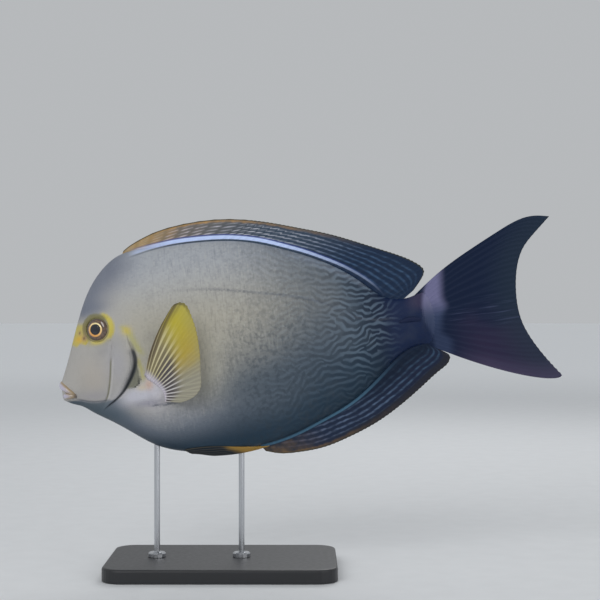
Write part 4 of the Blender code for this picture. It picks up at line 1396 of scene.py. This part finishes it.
def eye_finish():
    eye = fish_finish("eye", Roughness=0.08, Coat_Weight=1.0, Coat_Roughness=0.02, IOR=1.45)
    across, from_middle, up_front = eye.attributes("across", "from_middle", "up_front")
    grain = eye.noise((0.6, 0.6, 0.6), detail=3.0)
    iris = eye.mix(tone(84, 66, 54), tone(128, 98, 72), grain.step(0.4, 0.7))
    lower = eye.attribute("lower")
    gold = eye.mix(tone(246, 228, 168), tone(236, 164, 70), lower)
    eye.colour = eye.mix(tone(10, 16, 28), gold, across.step(4.6, 5.0))
    eye.coat(iris, (across - lower * 0.5).step(5.7, 6.3))
    eye.coat(tone(58, 46, 42), from_middle.step(7.4, 9.2) * (up_front * 0.3 + 0.7))
    eye.coat(tone(112, 106, 66), from_middle.step(8.9, 9.7) * up_front.step(-0.3, 0.3))
    eye.set(Base_Color=eye.colour)
    return eye.material


def outward(u, v, side, reach=6):
    """The direction square to the smooth skin at a place on one side."""
    along = (plain_flank(u + reach, v) - plain_flank(u - reach, v)) / (2 * reach)
    up = (plain_flank(u, v + reach) - plain_flank(u, v - reach)) / (2 * reach)
    return np.array(Vector((-along, side, -up)).normalized())


EYE_DEPTH = 8.6
LOOK_U = -1.1
eye_material = eye_finish()


def make_eye(name, side):
    out = outward(EYE_U, EYE_V, side)
    centre = np.array([EYE_U, side * float(plain_flank(EYE_U, EYE_V)), EYE_V]) - out * EYE_SUNK
    right = np.cross(out, [0, 0, 1])
    right /= np.linalg.norm(right)
    up = np.cross(right, out)
    around = 64
    rings = np.concatenate([np.linspace(0.25, 7.5, 40), np.linspace(7.8, EYE_RADIUS - 0.05, 24)])
    points, lower = [centre + out * EYE_DEPTH], [0.5]
    for radius in rings:
        high = EYE_DEPTH * math.sqrt(1 - (radius / EYE_RADIUS) ** 2)
        high += 0.25 * float(bump(radius - 5.4, 0.9)) - 0.18 * float(bump(radius - 7.4, 1.0))
        for turn in np.linspace(0, 2 * math.pi, around, endpoint=False):
            points.append(centre + out * high + (right * math.cos(turn) + up * math.sin(turn)) * radius)
            lower.append(0.5 - 0.5 * math.sin(turn + 0.5 * side))
    points.append(centre - out * EYE_DEPTH * 0.5)
    lower.append(0.5)
    last = len(points) - 1
    faces = [(0, 1 + j, 1 + (j + 1) % around) for j in range(around)]
    faces += [tuple(1 + i for i in quad) for quad in tube_faces(len(rings), around)]
    start = 1 + (len(rings) - 1) * around
    faces += [(last, start + (j + 1) % around, start + j) for j in range(around)]
    eye = piece(f"eyeball_{name}", in_model(points), faces, eye_material)
    u, _, v = np.array(points).T
    carry(eye.data, "across", from_eye(u - LOOK_U, v))
    carry(eye.data, "from_middle", from_eye(u, v))
    carry(eye.data, "up_front", up_front(u, v))
    carry(eye.data, "lower", lower)
    dress(eye, "eye", f"eye_{name}")


def make_eye_rim(name, side):
    """The soft ring of skin round the eye."""
    around, ring_points = 72, 14
    radius, thick = EYE_RADIUS - 1.5, 1.15
    points = []
    for turn in np.linspace(0, 2 * math.pi, around, endpoint=False):
        ahead, up = math.cos(turn), math.sin(turn)
        u, v = EYE_U + radius * ahead, EYE_V + radius * up
        base = float(plain_flank(u, v)) + 0.1
        for a in np.linspace(0, 2 * math.pi, ring_points, endpoint=False):
            away, out = thick * math.cos(a), 0.9 * thick * math.sin(a)
            points.append((u + away * ahead, side * (base + out), v + away * up))
    size = len(points)
    faces = [tuple(i % size for i in quad) for quad in tube_faces(around + 1, ring_points)]
    rim = piece(f"eye_rim_{name}", in_model(points), faces, skin_material)
    u, _, v = np.array(points).T
    front = ramp(up_front(u, v), -0.4, 0.3)
    paint = skin_paint(u, v)
    paint.coat(tone(122, 116, 78), front * 0.8)
    paint.coat(tone(92, 80, 50), (1 - front) * 0.55)
    carry_skin(rim.data, u, v, paint.colour, 0.5)
    dress(rim, "head_skin")


for side_name, side in SIDES.items():
    make_eye(side_name, side)
    make_eye_rim(side_name, side)

# %% [markdown]
# ## Lips
# The mouth is small, low and fleshy. Each lip is a roll from one corner of the mouth round the snout to
# the other, thick in front and thin at the corners. A pale lavender band covers the front of both.

# %% Make the lips


def lip_finish():
    lip = fish_finish("lips", Roughness=0.3, Coat_Weight=0.5, Coat_Roughness=0.12)
    paint = lip.attribute("paint", "Color")
    creases = lip.noise((0.5, 0.5, 1.6), detail=3.0)
    lip.set(Base_Color=lip.mix(paint, tone(120, 112, 120), creases.step(0.55, 0.75) * 0.3))
    lip.raised(creases, 0.0004)
    return lip.material


lip_material = lip_finish()


def make_lip(name, node, middle, radii):
    corner_u, corner_v = MOUTH_CORNER
    around, steps, width = 28, 60, 9.4
    points, front = [], []
    for i in range(steps + 1):
        turn = math.pi * i / steps
        forward = math.sin(turn)
        share = forward**0.8
        centre = np.array([
            corner_u + (middle[0] - corner_u) * share,
            -width * math.cos(turn),
            corner_v + (middle[1] - corner_v) * share,
        ])
        thick = 0.45 + 0.55 * forward**0.7
        out = np.array([-forward, -math.cos(turn) * 0.9, 0])
        out /= np.linalg.norm(out)
        for j in range(around):
            a = 2 * math.pi * j / around
            raised = np.array([0, 0, 1]) * math.sin(a) * radii[1]
            points.append(centre + (out * math.cos(a) * radii[0] + raised) * thick)
            front.append(math.cos(a) * (0.4 + 0.6 * forward))
    faces = tube_faces(steps + 1, around)
    faces += [tuple(range(around)), tuple(range(steps * around, (steps + 1) * around))]
    lip = piece(name, in_model(points), faces, lip_material, sharp=60)
    front, (u, _, v) = np.array(front), np.array(points).T
    paint = Paint(u, v, tone(160, 156, 152))
    paint.coat(tone(158, 138, 108), ramp(front, -0.35, 0.05))
    paint.coat(tone(188, 184, 202), ramp(front, 0.45, 0.85))
    # Painted shade in the mouth's corner.
    paint.coat(tone(60, 54, 56), oval(u, v, MOUTH_CORNER, (2.6, 2.6)) * 0.8)
    carry(lip.data, "paint", paint.colour)
    dress(lip, "lips", node)


make_lip("upper_lip_roll", "upper_lip", (5.0, -17.6), (3.9, 4.3))
make_lip("lower_lip_roll", "lower_lip", (6.4, -26.6), (3.6, 3.5))

# %% [markdown]
# ## Blades and stand
# The blade on each side of the tail stalk is the surgeon's knife that names the family. Its solid is
# already right, and so are the solids of the stand, so they only get their finishes: dark enamel on
# the base and brushed steel on the rods.

# %% Finish the blades and the stand


def plain_finish(name, colour, rough, metal, scale, stretch, shine=0.5):
    """One colour with a fine grain in its gloss, for turned metal, enamel or horn."""
    finish = Finish(name, Metallic=metal, Specular_IOR_Level=shine)
    grain = finish.noise(stretch, scale, 3.0)
    shade = tuple(min(1.0, c * 1.35) for c in colour)
    finish.set(Base_Color=finish.mix(tuple(colour), shade, grain), Roughness=grain * 0.16 + (rough - 0.08))
    return finish.material


EVEN, DRAWN = (1, 1, 1), (1, 1, 0.03)
solid_finishes = {
    "tail_blade": plain_finish("blade", tone(16, 27, 56), 0.45, 0.0, 900, EVEN, shine=0.2),
    "stand_base": plain_finish("stand enamel", tone(30, 31, 34), 0.4, 0.0, 260, EVEN),
    "stand_rod": plain_finish("brushed steel", tone(178, 180, 184), 0.28, 1.0, 500, DRAWN),
}
for node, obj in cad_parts.items():
    for start, finish in solid_finishes.items():
        if node.startswith(start):
            obj.data.materials.clear()
            obj.data.materials.append(finish)

# %% [markdown]
# ## The studio
# A pale floor runs out to a pale sky, and glows faintly far off, so that the horizon nearly vanishes.
# A large soft lamp over the camera's left shoulder models the flank, a weaker one fills from the
# right and a third lights the back's edge from behind.

# %% Floor, sky and lamps


def make_floor():
    around, radius = 96, 14.0
    turns = np.linspace(0, 2 * math.pi, around, endpoint=False)
    points = [(radius * math.cos(a), radius * math.sin(a), -0.0005) for a in turns]
    finish = Finish("studio floor", Roughness=0.75, Emission_Strength=1.0)
    speckle = finish.noise(scale=40, detail=3.0)
    far = finish.node("ShaderNodeVectorMath", {"operation": "LENGTH"}, {0: finish.place}, "Value")
    glow = finish.mix(tone(0, 0, 0), tone(104, 106, 108), far.step(0.6, 4.0))
    finish.set(Base_Color=finish.mix(tone(214, 216, 218), tone(222, 224, 226), speckle), Emission_Color=glow)
    mesh = bpy.data.meshes.new("studio_floor")
    mesh.from_pydata(points, [], [tuple(range(around))])
    mesh.materials.append(finish.material)
    floor = show("studio_floor", mesh)


def make_lamp(name, place, size, power, colour=(1, 1, 1)):
    light = bpy.data.lights.new(name, "AREA")
    light.shape = "DISK"
    light.size = size
    light.energy = power
    light.color = colour
    lamp = show(name, light)
    lamp.location = place
    aim = Vector((0, 0, 0.2)) - Vector(place)
    lamp.rotation_euler = aim.to_track_quat("-Z", "Y").to_euler()


make_floor()
make_lamp("key_lamp", (-0.8, -1.6, 1.2), 1.2, 15)
make_lamp("fill_lamp", (1.3, -1.4, 0.5), 1.0, 4)
make_lamp("back_lamp", (0.3, 1.3, 1.3), 0.9, 7)
world = bpy.data.worlds.new("pale sky")
world.use_nodes = True
world.node_tree.nodes["Background"].inputs["Color"].default_value = (*tone(226, 229, 232), 1)
world.node_tree.nodes["Background"].inputs["Strength"].default_value = 0.62
bpy.context.scene.world = world
bpy.context.scene.view_settings.view_transform = "Standard"
